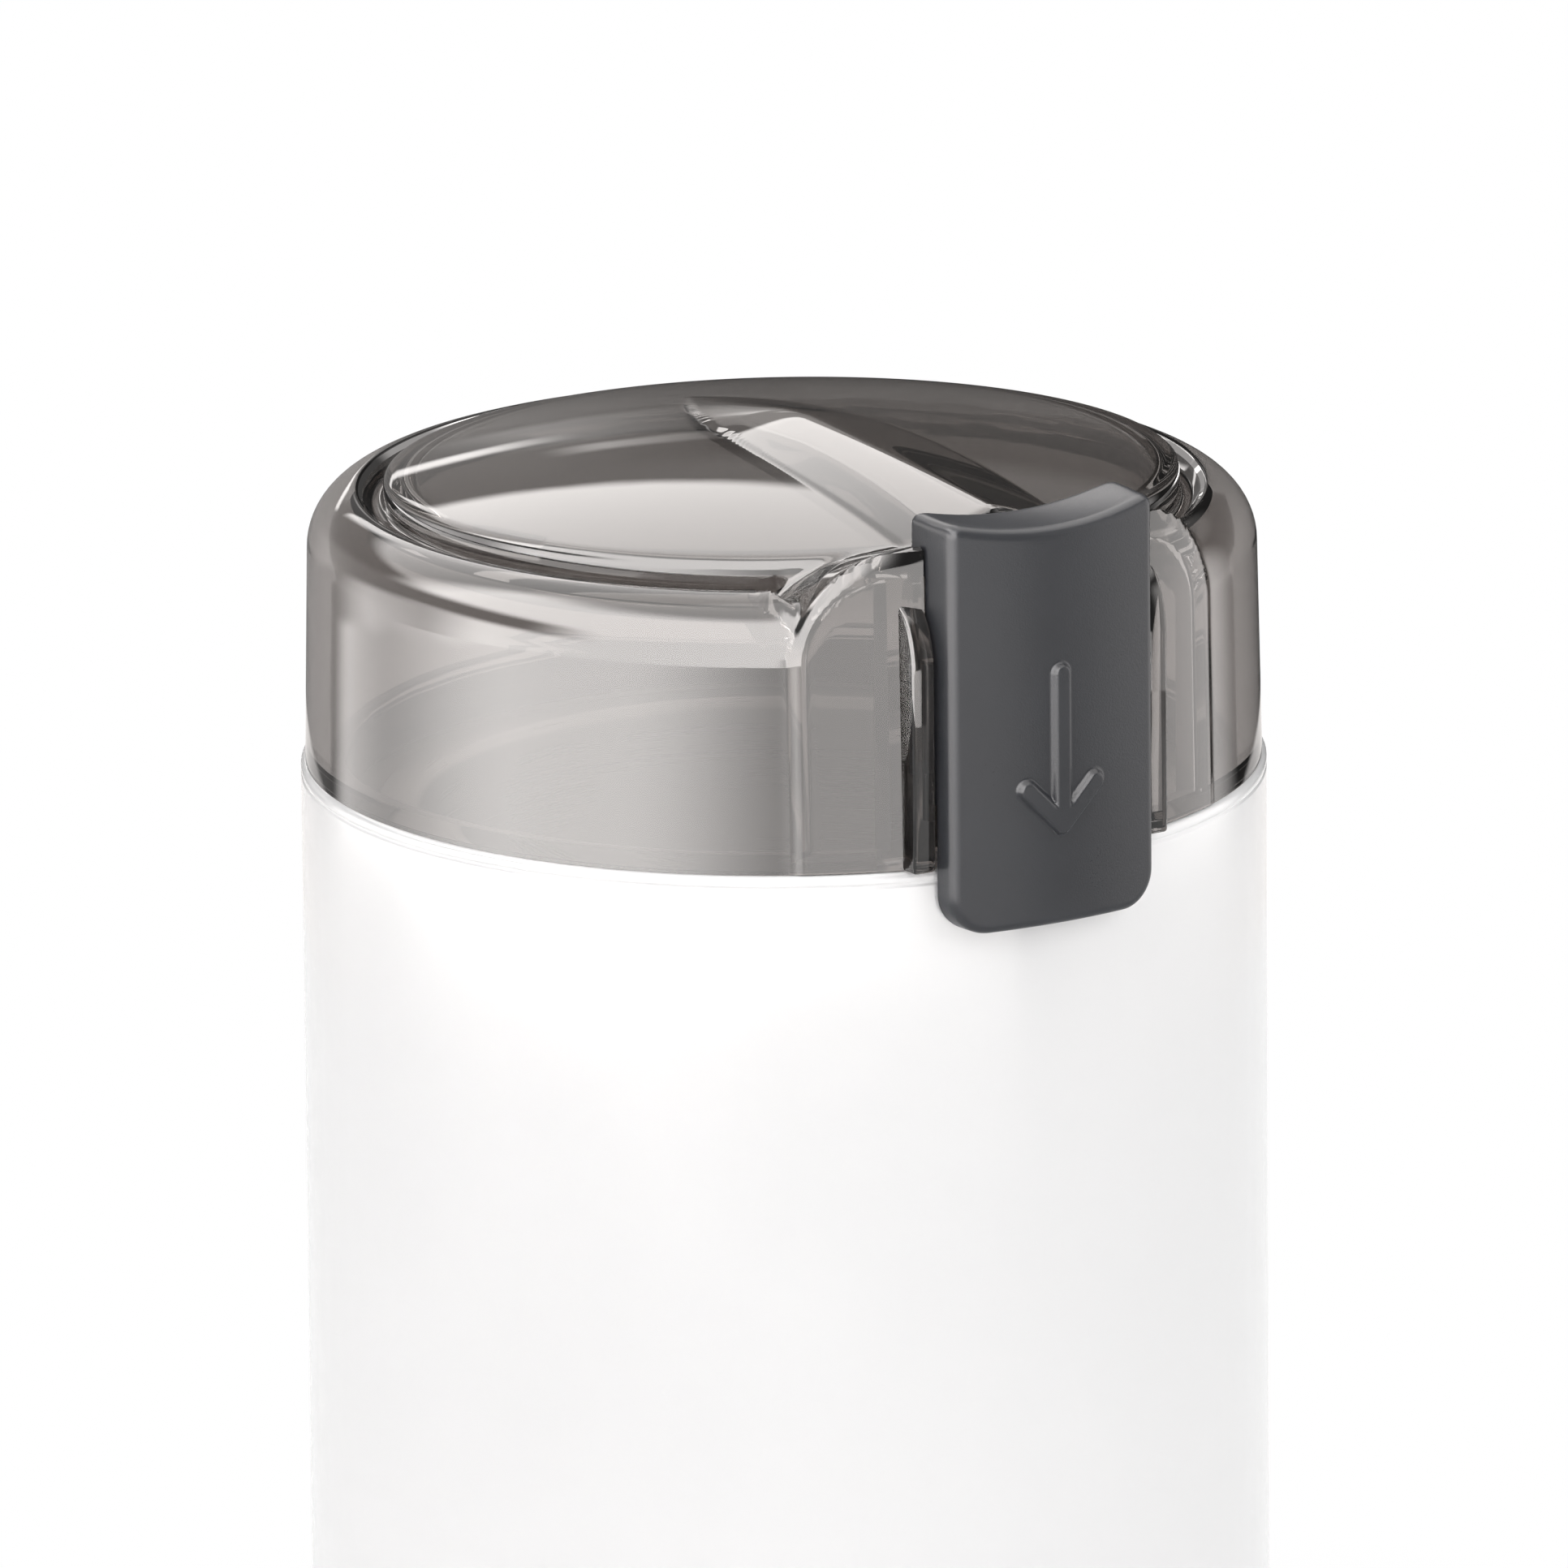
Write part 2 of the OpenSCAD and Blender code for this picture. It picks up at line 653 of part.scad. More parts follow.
// The lid's turned shape, solid to its axis, inset by a wall where one is given
module lid_turned(inset) {
  foot = lid_r - inset;
  r = shoulder_r - inset;
  groove_z = crest_z - groove_depth - inset;
  rotate_extrude()
    polygon(concat(
      [[0, inset > 0 ? -spigot_h - 1 : 0], [foot, inset > 0 ? -spigot_h - 1 : 0]],
      [[foot, 0]],
      arc(crest_r, lid_side_h, r, 0, 78, 8),
      [[groove_r - groove_w * 0.55, groove_z], [dome_r - inset, groove_z], [0, groove_z]]));
}

// The shallow dome, tilted by setting its sphere's middle towards the button
module dome(inset) {
  intersection() {
    translate([0, -dome_shift, dome_z]) sphere(r = dome_curve_r - inset, $fn = 200);
    disc(dome_r - inset, lid_side_h - 4, dome_top + 1);
  }
}

// Outline of the raised arch around the button, closed by an ellipse
function arch_outline(inset) =
  let (half = arch_half_w - inset, rise = arch_half_w * 0.78 - inset, cap = roof_top - inset)
  concat([[half, -spigot_h - 1]],
    [for (a = [0 : 6 : 180]) [half * cos(a), min(cap, arch_spring + rise * sin(a))]],
    [[-half, -spigot_h - 1]]);

// Height of the dome's surface at a place
function dome_at(x, s) = dome_z + sqrt(pow(dome_curve_r, 2) - x * x - pow(s - dome_shift, 2));

// Roof-shaped spine that runs from the middle of the dome to the button: its flanks fall from
// the ridge and meet the dome at the spine's width
module spine() {
  run = channel_back + back_wall / 2 + spine_back;
  count = 8;
  sides = 5;
  half = spine_w / 2;
  depth = 3;                                  // how deep the spine reaches into the dome
  points = [for (i = [0 : count]) let (t = i / count, s = run * t - spine_back,
      ridge = spine_top - spine_fall * pow(t, 1.6), eave = dome_at(half, s) - 0.15)
    each [[-half, -s, eave - depth], [half, -s, eave - depth], [half, -s, eave], [0, -s, ridge],
      [-half, -s, eave]]];
  faces = [for (i = [0 : count - 1], k = [0 : sides - 1])
    let (m = (k + 1) % sides)
    [sides * i + k, sides * i + m, sides * (i + 1) + m, sides * (i + 1) + k]];
  polyhedron(points = points, faces = concat([[4, 3, 2, 1, 0]], faces,
    [[for (k = [0 : sides - 1]) sides * count + k]]), convexity = 4);
}

// The block that guides the button: two rails and the wall behind the channel
module guide_block() {
  front_block(rail_out, channel_back - back_wall, rail_front, 0, crest_z);
  intersection() {
    front_block(rail_out, channel_back - back_wall, channel_back + 1, crest_z - 1, roof_top);
    front_prism(dome_r - 12, boss_r + 1) polygon(arch_outline(0));
  }
}

module lid() {
  color("dimgray", 0.6)
    translate([0, 0, rim_z])
      difference() {
        union() {
          difference() {
            union() {
              lid_turned(0);
              dome(0);
              intersection() {
                front_prism(dome_r - 12, boss_r + 1) polygon(arch_outline(0));
                disc(boss_r, 0, far);
              }
              spine();
            }
            lid_turned(lid_wall);
            dome(lid_wall);
            intersection() {
              front_prism(dome_r - 14, boss_r) polygon(arch_outline(lid_wall));
              disc(boss_r - lid_wall, -1, far);
            }
          }
          guide_block();
          ring(spigot_r, spigot_in, -spigot_h, 0);
          ring(lid_r - 1, spigot_in, 0, 1.5);
        }
        front_block(channel_half, channel_back, far, -spigot_h - 1, far);
        front_block(rail_out + 0.5, channel_back - back_wall, far, -spigot_h - 1, 0);
        for (side = [-1, 1])
          translate([side * (channel_half + button_gap / 2 - 1), 0, 0])
            front_block(lug_w - button_gap / 2 + 0.3, side_back - pass_gap,
              side_back + lug_d + pass_gap, lug_z - button_travel - pass_gap,
              lug_z + lug_len + pass_gap);
      }
}

// ---- Button ----

// Outline of the button's face, with rounded lower corners
module button_outline() {
  half = button_w / 2;
  translate([-half, corner_r - button_drop]) square([button_w, button_top + button_drop - corner_r]);
  translate([corner_r - half, -button_drop]) square([button_w - 2 * corner_r, 2 * corner_r]);
  for (side = [-1, 1])
    translate([side * (half - corner_r), corner_r - button_drop]) circle(r = corner_r);
}

// A straight stroke with round ends between two points
module stroke(a, b, w) {
  d = b - a;
  translate(a)
    rotate([0, 0, atan2(d.y, d.x)])
      translate([0, -w / 2]) square([norm(d), w]);
  for (p = [a, b])
    translate(p) circle(d = w);
}

module arrow_outline() {
  tip = [0, arrow_tip + arrow_stroke / 2];
  stroke([0, arrow_tip + arrow_len - arrow_stroke / 2], tip, arrow_stroke);
  for (side = [-1, 1])
    stroke([side * (arrow_span - arrow_stroke / 2), tip.y + arrow_span - arrow_stroke / 2], tip,
      arrow_stroke);
}

// Sliding button: curved face, side walls, deeper head, foot, rib and two lugs
module push_button() {
  inner_half = button_w / 2 - button_side;
  dish_r = 40;
  color("#46494d")
    translate([0, 0, rim_z]) {
      difference() {
        intersection() {
          disc(face_r, -button_drop - 1, button_top + 1);
          front_prism(head_back, face_r + 1) button_outline();
        }
        disc(plate_in_r, -button_drop - 2, side_start);
        front_block(far, 0, side_back, -button_drop - 2, head_bottom);
        intersection() {
          disc(plate_in_r, -button_drop - 2, button_top - cap_t);
          front_block(inner_half, head_back + foot_t, far, -button_drop - 2, button_top);
        }
        translate([0, -(face_r + head_back) / 2, button_top + dish_r - dish_depth])
          sphere(r = dish_r);
      }
      front_block(foot_w / 2, head_back, head_back + foot_t, -foot_reach, head_bottom + 1);
      front_block(0.9, head_back + foot_t - eps, plate_in_r + 0.5, side_start + 2,
        button_top - cap_t);
      for (side = [-1, 1])
        translate([side * (button_w / 2 - 0.5 + (lug_w + 0.5) / 2 - 0.25), 0, 0])
          front_block((lug_w + 0.5) / 2, side_back, side_back + lug_d, lug_z, lug_z + lug_len);
      intersection() {
        ring(face_r + arrow_h, face_r - 0.5, 0, button_top);
        front_prism(face_r - 6, face_r + 1) arrow_outline();
      }
    }
}

// ---- Push rod and switch ----

// Rod that carries the button's stroke down to the switch lever
module push_rod() {
  color("ivory") {
    front_block(rod_w / 2, rod_s, rod_s + rod_t, rod_foot_z, rod_top);
    front_block(rod_w / 2, stem_s - stem_r - 0.4, rod_s + eps, rod_foot_z, rod_foot_z + rod_foot_t);
    translate([0, -stem_s, 0]) {
      disc(stem_r, tip_z, rod_foot_z + eps);
      translate([0, 0, tip_z]) sphere(r = stem_r);
    }
  }
}

module return_spring() {
  color("silver")
    translate([0, -stem_s, guide_top + eps])
      coil(stem_r + 0.85, 0.35, spring_len - 2 * eps, 6);
}

// Snap switch with two ears that hold its lever's pin
module switch_case() {
  ear_top = hinge_z + 1.2;
  color("black")
    difference() {
      union() {
        block([switch_x, -plate_front - switch_t, switch_top - switch_h],
          [switch_x + switch_len, -plate_front, switch_top]);
        for (s = [plate_front + 0.2, plate_front + switch_t - 0.2 - ear_t])
          block([hinge_x - 1, -s - ear_t, switch_top - 1], [hinge_x + 1.2, -s, ear_top]);
      }
      translate([hinge_x, -plate_front + 1, hinge_z])
        rotate([90, 0, 0]) cylinder(r = pin_r + run_gap, h = switch_t + 2);
      translate([plunger_x, -stem_s, 0])
        disc(plunger_r + run_gap, switch_top - 6, switch_top + 1);
      for (x = switch_screw_x)
        translate([x, -plate_front + 1, switch_screw_z])
          rotate([90, 0, 0]) cylinder(r = 1 + seat_gap, h = switch_t + 2);
    }
}

// Lever strip with its pin, raised at rest by the angle that the rod pushes it through
module switch_lever() {
  color("gold")
    translate([hinge_x, -stem_s, hinge_z]) {
      rotate([0, -lever_angle, 0])
        block([-0.8, -lever_half, -lever_t / 2], [lever_arm + 2, lever_half, lever_t / 2]);
      rotate([90, 0, 0])
        cylinder(r = 0.9, h = 2 * lever_half, center = true);
      rotate([90, 0, 0])
        cylinder(r = pin_r, h = switch_t - 0.4, center = true);
    }
}

module switch_plunger() {
  color("firebrick")
    translate([plunger_x, -stem_s, 0])
      disc(plunger_r, switch_top - 4, plunger_top);
}

module switch_terminals() {
  color("goldenrod")
    for (x = [switch_x + 3, switch_x + switch_len / 2, switch_x + switch_len - 3])
      translate([x, 0, 0])
        front_block(1.4, stem_s - 0.25, stem_s + 0.25, switch_top - switch_h - tab_len,
          switch_top - switch_h);
}

module switch_screws() {
  color("silver")
    for (x = switch_screw_x)
      translate([x, -plate_front - switch_t, switch_screw_z]) {
        rotate([90, 0, 0]) cylinder(r = 1.8, h = 1);
        rotate([-90, 0, 0]) cylinder(r = 1, h = switch_t + plate_t - 0.5);
      }
}

// ---- Rotor ----

module motor_shaft() {
  color("silver") disc(shaft_r, shaft_z, nut_z + nut_h - 1.5);
}

// Slotted laminated core
module armature_core() {
  slots = 12;
  color("slategray")
    difference() {
      disc(armature_r, core_z, core_top);
      disc(press_r, core_z - 1, core_top + 1);
      for (i = [0 : slots - 1])
        rotate([0, 0, 360 * i / slots])
          block([armature_r - 5, -0.9, core_z - 1], [armature_r + 1, 0.9, core_top + 1]);
    }
}

// Wound end turns above and below the core
module armature_windings() {
  inner = press_r + 1.5;
  color("peru")
    rotate_extrude() {
      polygon([[inner, core_top], [armature_r - 1.5, core_top],
        [armature_r - 2.5, core_top + winding_h - 2], [armature_r - 5, core_top + winding_h],
        [inner, core_top + winding_h]]);
      polygon([[inner, core_z - winding_h - 1], [armature_r - 5.5, core_z - winding_h - 1],
        [armature_r - 2.5, core_z - winding_h + 2], [armature_r - 1.5, core_z], [inner, core_z]]);
    }
}

// Copper ring with its bars parted by slots
module commutator() {
  bars = 24;
  color("darkorange")
    difference() {
      union() {
        disc(commutator_r, commutator_z, commutator_top - 1.5);
        disc(commutator_r + 0.8, commutator_top - 1.5, commutator_top);
      }
      disc(press_r, commutator_z - 1, commutator_top + 1);
      for (i = [0 : bars - 1])
        rotate([0, 0, 360 * i / bars])
          block([commutator_r - 1, -0.2, commutator_z - 1],
            [commutator_r + 1, 0.2, commutator_top + 1]);
    }
}

module cooling_fan() {
  hub_r = 7;
  plate = 1.2;
  color("ivory")
    difference() {
      union() {
        translate([0, 0, fan_z])
          linear_extrude(fan_h - plate / 2) {
            circle(r = hub_r);
            for (i = [0 : fan_vanes - 1])
              rotate([0, 0, 360 * (i + 0.5) / fan_vanes])
                translate([hub_r - 1, -0.6]) square([fan_r - hub_r, 1.2]);
          }
        disc(fan_r, fan_top - plate, fan_top);
      }
      disc(press_r, fan_z - 1, fan_top + 1);
    }
}

module blade_bush() {
  color("silver") ring(bush_r, press_r, bush_z, blade_z);
}

// One wing of the blade: a strip cut off at the tip's circle
module wing(tilt) {
  intersection() {
    disc(blade_r, blade_z - 15, blade_z + 15);
    translate([bush_r + 0.4, 0, blade_z + blade_t / 2])
      rotate([0, -tilt, 0])
        block([0, -blade_w / 2, -blade_t / 2], [blade_r, blade_w / 2, blade_t / 2]);
  }
}

// Two-winged blade: one wing rises and the other dips
module blade() {
  dip = blade_tilt / 6;
  color("silver")
    difference() {
      union() {
        disc(bush_r + 1.5, blade_z, blade_z + blade_t);
        wing(blade_tilt);
        rotate([0, 0, 180]) wing(-dip);
      }
      disc(press_r, blade_z - 10, blade_z + 15);
    }
}

// Domed nut that clamps the blade
module blade_nut() {
  cap_r = 9;
  color("silver")
    difference() {
      intersection() {
        disc(nut_r, nut_z, nut_z + nut_h);
        translate([0, 0, nut_z + nut_h - cap_r]) sphere(r = cap_r);
      }
      disc(press_r, nut_z - 1, nut_z + nut_h - 1.5);
    }
}

// ---- Motor ----

// A ball bearing as its closed ring, with a shallow groove on both faces
module bearing(z) {
  groove = 0.4;
  mid = (shaft_gap_r + bearing_r) / 2;
  color("silver")
    difference() {
      ring(bearing_r, shaft_gap_r, z, z + bearing_w);
      ring(mid + 1.8, mid - 1.8, z - 1, z + groove);
      ring(mid + 1.8, mid - 1.8, z + bearing_w - groove, z + bearing_w + 1);
    }
}

module upper_bearing() { bearing(upper_bearing_z); }

module lower_bearing() { bearing(lower_bearing_z); }

// Bar that carries the upper bearing under the chassis floor
module upper_bracket() {
  color("darkgray")
    difference() {
      union() {
        block([-bracket_half, -7, upper_bracket_z], [bracket_half, 7, upper_bracket_z + bracket_t]);
        disc(boss_r_out, upper_bracket_z, upper_boss_top);
      }
      disc(bearing_hole, upper_bearing_z - seat_gap, far * 2);
      disc(bearing_r - 2.5, upper_bracket_z - 1, upper_bearing_z);
      left_and_right(screw_x) disc(screw_hole, upper_bracket_z - 1, upper_bracket_z + bracket_t + 1);
    }
}

// Plate that carries the lower bearing, the brush holders and the suppressor
module lower_bracket() {
  color("darkgray")
    difference() {
      union() {
        translate([0, 0, lower_bracket_z])
          linear_extrude(bracket_t) {
            round_rect(bracket_half, 7, 2);
            round_rect(6.5, holder_end + 1, 2);
            translate([bracket_half - 2, -tray_half])
              square([tray_x + tray_len - bracket_half + 2, 2 * tray_half]);
          }
        disc(boss_r_out, lower_boss_z, lower_bracket_top);
      }
      disc(bearing_hole, lower_boss_z - 1, lower_bracket_top - lip);
      disc(bearing_r - 2.5, lower_bracket_z, lower_bracket_top + 1);
      left_and_right(screw_x) disc(screw_hole, lower_bracket_z - 1, lower_bracket_top + 1);
    }
}

// Laminated stator with two poles that face each other along Y
module stator_core() {
  color("slategray")
    translate([0, 0, core_z])
      linear_extrude(core_h)
        difference() {
          union() {
            difference() {
              round_rect(stator_w / 2, stator_d / 2, 5);
              square([2 * window_x, 2 * window_y], center = true);
            }
            for (side = [-1, 1])
              translate([-pole_w / 2, side > 0 ? bore_r : -window_y - 1])
                square([pole_w, window_y - bore_r + 1]);
            intersection() {
              circle(r = shoe_r);
              union()
                for (side = [-1, 1])
                  translate([-shoe_half, side > 0 ? 8 : -shoe_r - 1])
                    square([2 * shoe_half, shoe_r - 7]);
            }
          }
          circle(r = bore_r);
          for (side = [-1, 1])
            translate([side * screw_x, 0]) circle(r = screw_hole);
        }
}

// Two copper coils, one wound around each pole's neck
module field_coils() {
  neck = pole_w / 2 + seat_gap;
  color("peru")
    for (side = [0, 180])
      rotate([0, 0, side])
        difference() {
          front_block(neck + coil_w, shoe_r + 0.35, window_y - 0.3, core_z - coil_over,
            core_top + coil_over);
          front_block(neck, shoe_r - 1, window_y + 1, core_z - seat_gap, core_top + seat_gap);
        }
}

// Sleeves on the motor screws that hold the stator between the brackets
module motor_spacers() {
  color("silver")
    left_and_right(screw_x) {
      ring(head_r + 0.2, screw_hole, lower_bracket_top, core_z);
      ring(head_r + 0.2, screw_hole, core_top, upper_bracket_z);
    }
}

module motor_screws() {
  color("silver")
    left_and_right(screw_x)
      screw(lower_bracket_z - screw_head_t, floor_z + 1.5 - lower_bracket_z);
}

// Two brass boxes that guide the brushes
module brush_holders() {
  color("goldenrod")
    for (side = [0, 180])
      rotate([0, 0, side])
        difference() {
          front_block(holder_w / 2, holder_y, holder_end, lower_bracket_top, brush_z + holder_w / 2);
          front_block(brush_w / 2 + seat_gap, holder_y - 1, holder_end - 1,
            brush_z - brush_w / 2 - seat_gap, brush_z + brush_w / 2 + seat_gap);
        }
}

module carbon_brushes() {
  tip = commutator_r - 0.6;
  color("black")
    for (side = [0, 180])
      rotate([0, 0, side])
        difference() {
          front_block(brush_w / 2, tip, tip + brush_len, brush_z - brush_w / 2, brush_z + brush_w / 2);
          disc(commutator_r + brush_gap, brush_z - brush_w, brush_z + brush_w);
        }
}

module brush_springs() {
  start = commutator_r - 0.6 + brush_len + eps;
  color("silver")
    for (side = [0, 180])
      rotate([0, 0, side])
        translate([0, -start, brush_z])
          rotate([90, 0, 0]) coil(1.7, 0.3, holder_end - 1 - start - eps, 5);
}

// Box capacitor that keeps the motor's noise out of the mains
module suppressor() {
  color("steelblue")
    block([tray_x, -tray_half + 0.5, lower_bracket_top],
      [tray_x + tray_len - 0.5, tray_half - 0.5, lower_bracket_top + cap_h]);
}

// Block on the base plate where the lead's two cores are clamped
module terminal_block() {
  color("ivory")
    difference() {
      block([-terminal_w / 2, terminal_y, base_z],
        [terminal_w / 2, terminal_y + terminal_d, base_z + terminal_h]);
      for (x = [-terminal_w / 4, terminal_w / 4])
        translate([x, terminal_y - 1, base_z + terminal_h / 2])
          rotate([-90, 0, 0]) cylinder(r = 1.5, h = far);
      for (x = [-terminal_w / 4, terminal_w / 4])
        translate([x, terminal_y + terminal_d / 2, 0]) disc(1.2, base_z + terminal_h / 2, far);
    }
}

// Insulated wires from the terminals to the suppressor, the switch and the front brush
module inner_leads() {
  cap_top = lower_bracket_top + cap_h;
  cap_x = tray_x + tray_len / 2 - 0.25;
  tab_z = switch_top - switch_h - tab_len - lead_r - 0.1;
  terminal_top = base_z + terminal_h + lead_r;
  pass = (leg_pos - leg_r - lead_r - 1.5) * cos(45);    // runs inside the chassis legs
  over = cap_top + lead_r + 1;
  color("firebrick")
    lead([[terminal_w / 2 - 2, terminal_y + terminal_d / 2, terminal_top],
      [terminal_w / 2 + 1, terminal_y + terminal_d - 0.8, terminal_top + 7],
      [pass, pass, (terminal_top + cap_top) / 2], [cap_x + 1, tray_half + 5, cap_top - 4],
      [cap_x, tray_half + 1.5, over], [cap_x, tray_half - 3, cap_top + lead_r]], lead_r);
  color("navy")
    lead([[cap_x, 3 - tray_half, cap_top + lead_r], [cap_x, -tray_half - 1.5, over],
      [cap_x + 1, -tray_half - 5, cap_top - 4], [pass, -pass, cap_top - 4],
      [8, -plate_front - 1, tab_z + 1], [switch_x + switch_len - 3, -stem_s, tab_z]], lead_r);
  color("black")
    lead([[switch_x + 3, -stem_s, tab_z], [-9, -stem_s + 2, tab_z - 5],
      [0, -holder_end - lead_r, brush_z]], lead_r);
}

housing();
base_plate();
rubber_feet();
base_screws();
lead_gland();
bowl_chassis();
grinding_bowl();
bowl_gasket();
shaft_seal();
lid();
push_button();
push_rod();
return_spring();
switch_case();
switch_lever();
switch_plunger();
switch_terminals();
switch_screws();
motor_shaft();
armature_core();
armature_windings();
commutator();
cooling_fan();
blade_bush();
blade();
blade_nut();
upper_bearing();
lower_bearing();
upper_bracket();
lower_bracket();
stator_core();
field_coils();
motor_spacers();
motor_screws();
brush_holders();
carbon_brushes();
brush_springs();
suppressor();
terminal_block();
inner_leads();
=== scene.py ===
"""Visual model of an electric spice grinder, dressed over its packed construction model.

Lengths in the classes are millimetres and become metres when a mesh is made. Heights of the
lid and of the button count from the shell's rim. The button faces -Y, so a distance towards
it from the axis, called front in the formulas, is -y.
"""

from __future__ import annotations

import json
import logging
import math
from dataclasses import dataclass, field
from enum import Enum
from typing import Any, Callable, Sequence

import bmesh
import bpy
import numpy as np
from mathutils import Matrix, Vector


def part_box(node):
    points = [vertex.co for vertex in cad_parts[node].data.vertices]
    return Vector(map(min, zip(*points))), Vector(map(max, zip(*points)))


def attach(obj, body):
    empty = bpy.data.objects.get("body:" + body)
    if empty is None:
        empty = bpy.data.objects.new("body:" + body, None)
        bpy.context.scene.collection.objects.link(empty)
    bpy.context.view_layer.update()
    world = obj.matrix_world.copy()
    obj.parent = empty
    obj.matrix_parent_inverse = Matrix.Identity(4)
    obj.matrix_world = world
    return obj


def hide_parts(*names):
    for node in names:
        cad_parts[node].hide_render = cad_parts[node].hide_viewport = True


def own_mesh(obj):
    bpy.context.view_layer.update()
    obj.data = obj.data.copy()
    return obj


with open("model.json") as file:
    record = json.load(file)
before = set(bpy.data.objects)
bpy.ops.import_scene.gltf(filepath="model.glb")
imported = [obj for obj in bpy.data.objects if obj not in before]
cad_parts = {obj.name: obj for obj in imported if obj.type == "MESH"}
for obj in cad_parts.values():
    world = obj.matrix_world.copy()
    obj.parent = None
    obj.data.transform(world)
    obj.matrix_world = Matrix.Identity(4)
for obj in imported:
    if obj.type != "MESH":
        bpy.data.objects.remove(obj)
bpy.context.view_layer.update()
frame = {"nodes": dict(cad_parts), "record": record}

logging.basicConfig(level=logging.INFO, format="%(message)s")
log = logging.getLogger("grinder")

MM = 0.001
PER_METRE = 1000.0
QUARTER = math.pi / 2.0
TURN = 2.0 * math.pi
DEGREES = 180.0 / math.pi
SHARP = 40.0
HALVINGS = 34
WHITE = (1.0, 1.0, 1.0)
Array = np.ndarray
Colour = tuple[float, float, float]
Ends = tuple[float, float]
Corners = Sequence[tuple[float, float, float]]
Piece = bpy.types.Object
Material = bpy.types.Material


# ---- Fields and profiles ----


def smooth_max(a: Array, b: Array, blend: float) -> Array:
    """Larger of two fields, rounded where they meet.

    The formula is max(a, b) plus a quarter of the square of the overlap blend - |a - b|,
    over blend, where that overlap is positive.

    Args:
        a: First field.
        b: Second field.
        blend: Width over which the two are rounded.

    Returns:
        The rounded maximum.
    """
    overlap = np.maximum(blend - np.abs(a - b), 0.0)
    return np.maximum(a, b) + overlap**2 / (4.0 * blend)


def smooth_min(a: Array, b: Array, blend: float) -> Array:
    """Smaller of two fields, filleted where they meet: the mirror of smooth_max."""
    return -smooth_max(-a, -b, blend)


def smooth_step(t: Array) -> Array:
    """Rises from 0 to 1 as t does, by 3 t squared minus 2 t cubed."""
    t = np.clip(t, 0.0, 1.0)
    return t * t * (3.0 - 2.0 * t)


def cornered(across: Array, up: Array, radius: float) -> Array:
    """Field of a rounded corner, from the distances past the middle of its arc."""
    past = np.hypot(np.maximum(across, 0.0), np.maximum(up, 0.0))
    return past + np.minimum(np.maximum(across, up), 0.0) - radius


def stacked(*axes: Array | float) -> Array:
    """Points of these coordinates, each an array or one number for all."""
    return np.stack(np.broadcast_arrays(*axes), axis=-1)


def span(start: float, stop: float, step: float) -> Array:
    """Evenly spaced values from start to stop, both included, about one step apart."""
    return np.linspace(start, stop, max(2, round(abs(stop - start) / step) + 1))


def edged_span(low: float, high: float, step: float, edge: float, fine: float) -> Array:
    """Values from low to high that lie closer together near both ends.

    Args:
        low: First value.
        high: Last value.
        step: Spacing in the middle.
        edge: Length of each dense end.
        fine: Spacing in the dense ends.

    Returns:
        The values, in rising order.
    """
    ends = span(0.0, edge, fine)
    middle = span(low + edge, high - edge, step)
    return np.unique(np.round(np.concatenate([low + ends, middle, high - ends]), 6))


def finer(values: Array, low: float, high: float, step: float = 0.12) -> Array:
    """Replaces the values from low to high by evenly spaced ones."""
    kept = values[(values < low) | (values > high)]
    return np.unique(np.concatenate([kept, span(low, high, step)]))


def rounded(corners: Corners, steps: int) -> Array:
    """Closed outline whose corners are replaced by arcs.

    Each corner is (across, along, radius). Its arc touches both sides at radius over the
    tangent of half the corner's angle, and its centre lies on the bisector at radius over
    the sine of that half angle.

    Args:
        corners: Corners in counter-clockwise order.
        steps: Number of chords in an arc.

    Returns:
        Outline points, shape (n, 2).
    """
    spots = np.array([c[:2] for c in corners], float)
    outline = []
    for i, (_, _, radius) in enumerate(corners):
        here = spots[i]
        if radius <= 0.0:
            outline.append(here[None])
            continue
        back, ahead = spots[i - 1] - here, spots[(i + 1) % len(corners)] - here
        back, ahead = back / np.linalg.norm(back), ahead / np.linalg.norm(ahead)
        half = math.acos(np.clip(back @ ahead, -1.0, 1.0)) / 2.0
        bisector = (back + ahead) / np.linalg.norm(back + ahead)
        centre = here + bisector * radius / math.sin(half)
        first = here + back * radius / math.tan(half) - centre
        last = here + ahead * radius / math.tan(half) - centre
        t = np.linspace(0.0, 1.0, steps + 1)[:, None]
        sweep = math.pi - 2.0 * half
        arc = (np.sin((1.0 - t) * sweep) * first + np.sin(t * sweep) * last) / math.sin(sweep)
        outline.append(centre + arc)
    return np.concatenate(outline)


def turned(outline: Array, angles: Array) -> Array:
    """Surface of revolution: (r, z) becomes (r cos a, r sin a, z) for each angle a."""
    r, z = outline[:, :1], outline[:, 1:]
    return stacked(r * np.cos(angles), r * np.sin(angles), z)


def around(count: int) -> Array:
    """Evenly spaced angles of one turn, without its last."""
    return np.arange(count) * (TURN / count)


def disc(reach: float, count: int) -> Array:
    """Outline of a circle about the axis."""
    return stacked(reach * np.cos(around(count)), reach * np.sin(around(count)))


def lathed(corners: Corners, steps: int, count: int) -> Array:
    """Surface turned from rounded corners: chords in each arc, then columns around."""
    return turned(rounded(corners, steps), around(count))


# ---- Meshes ----


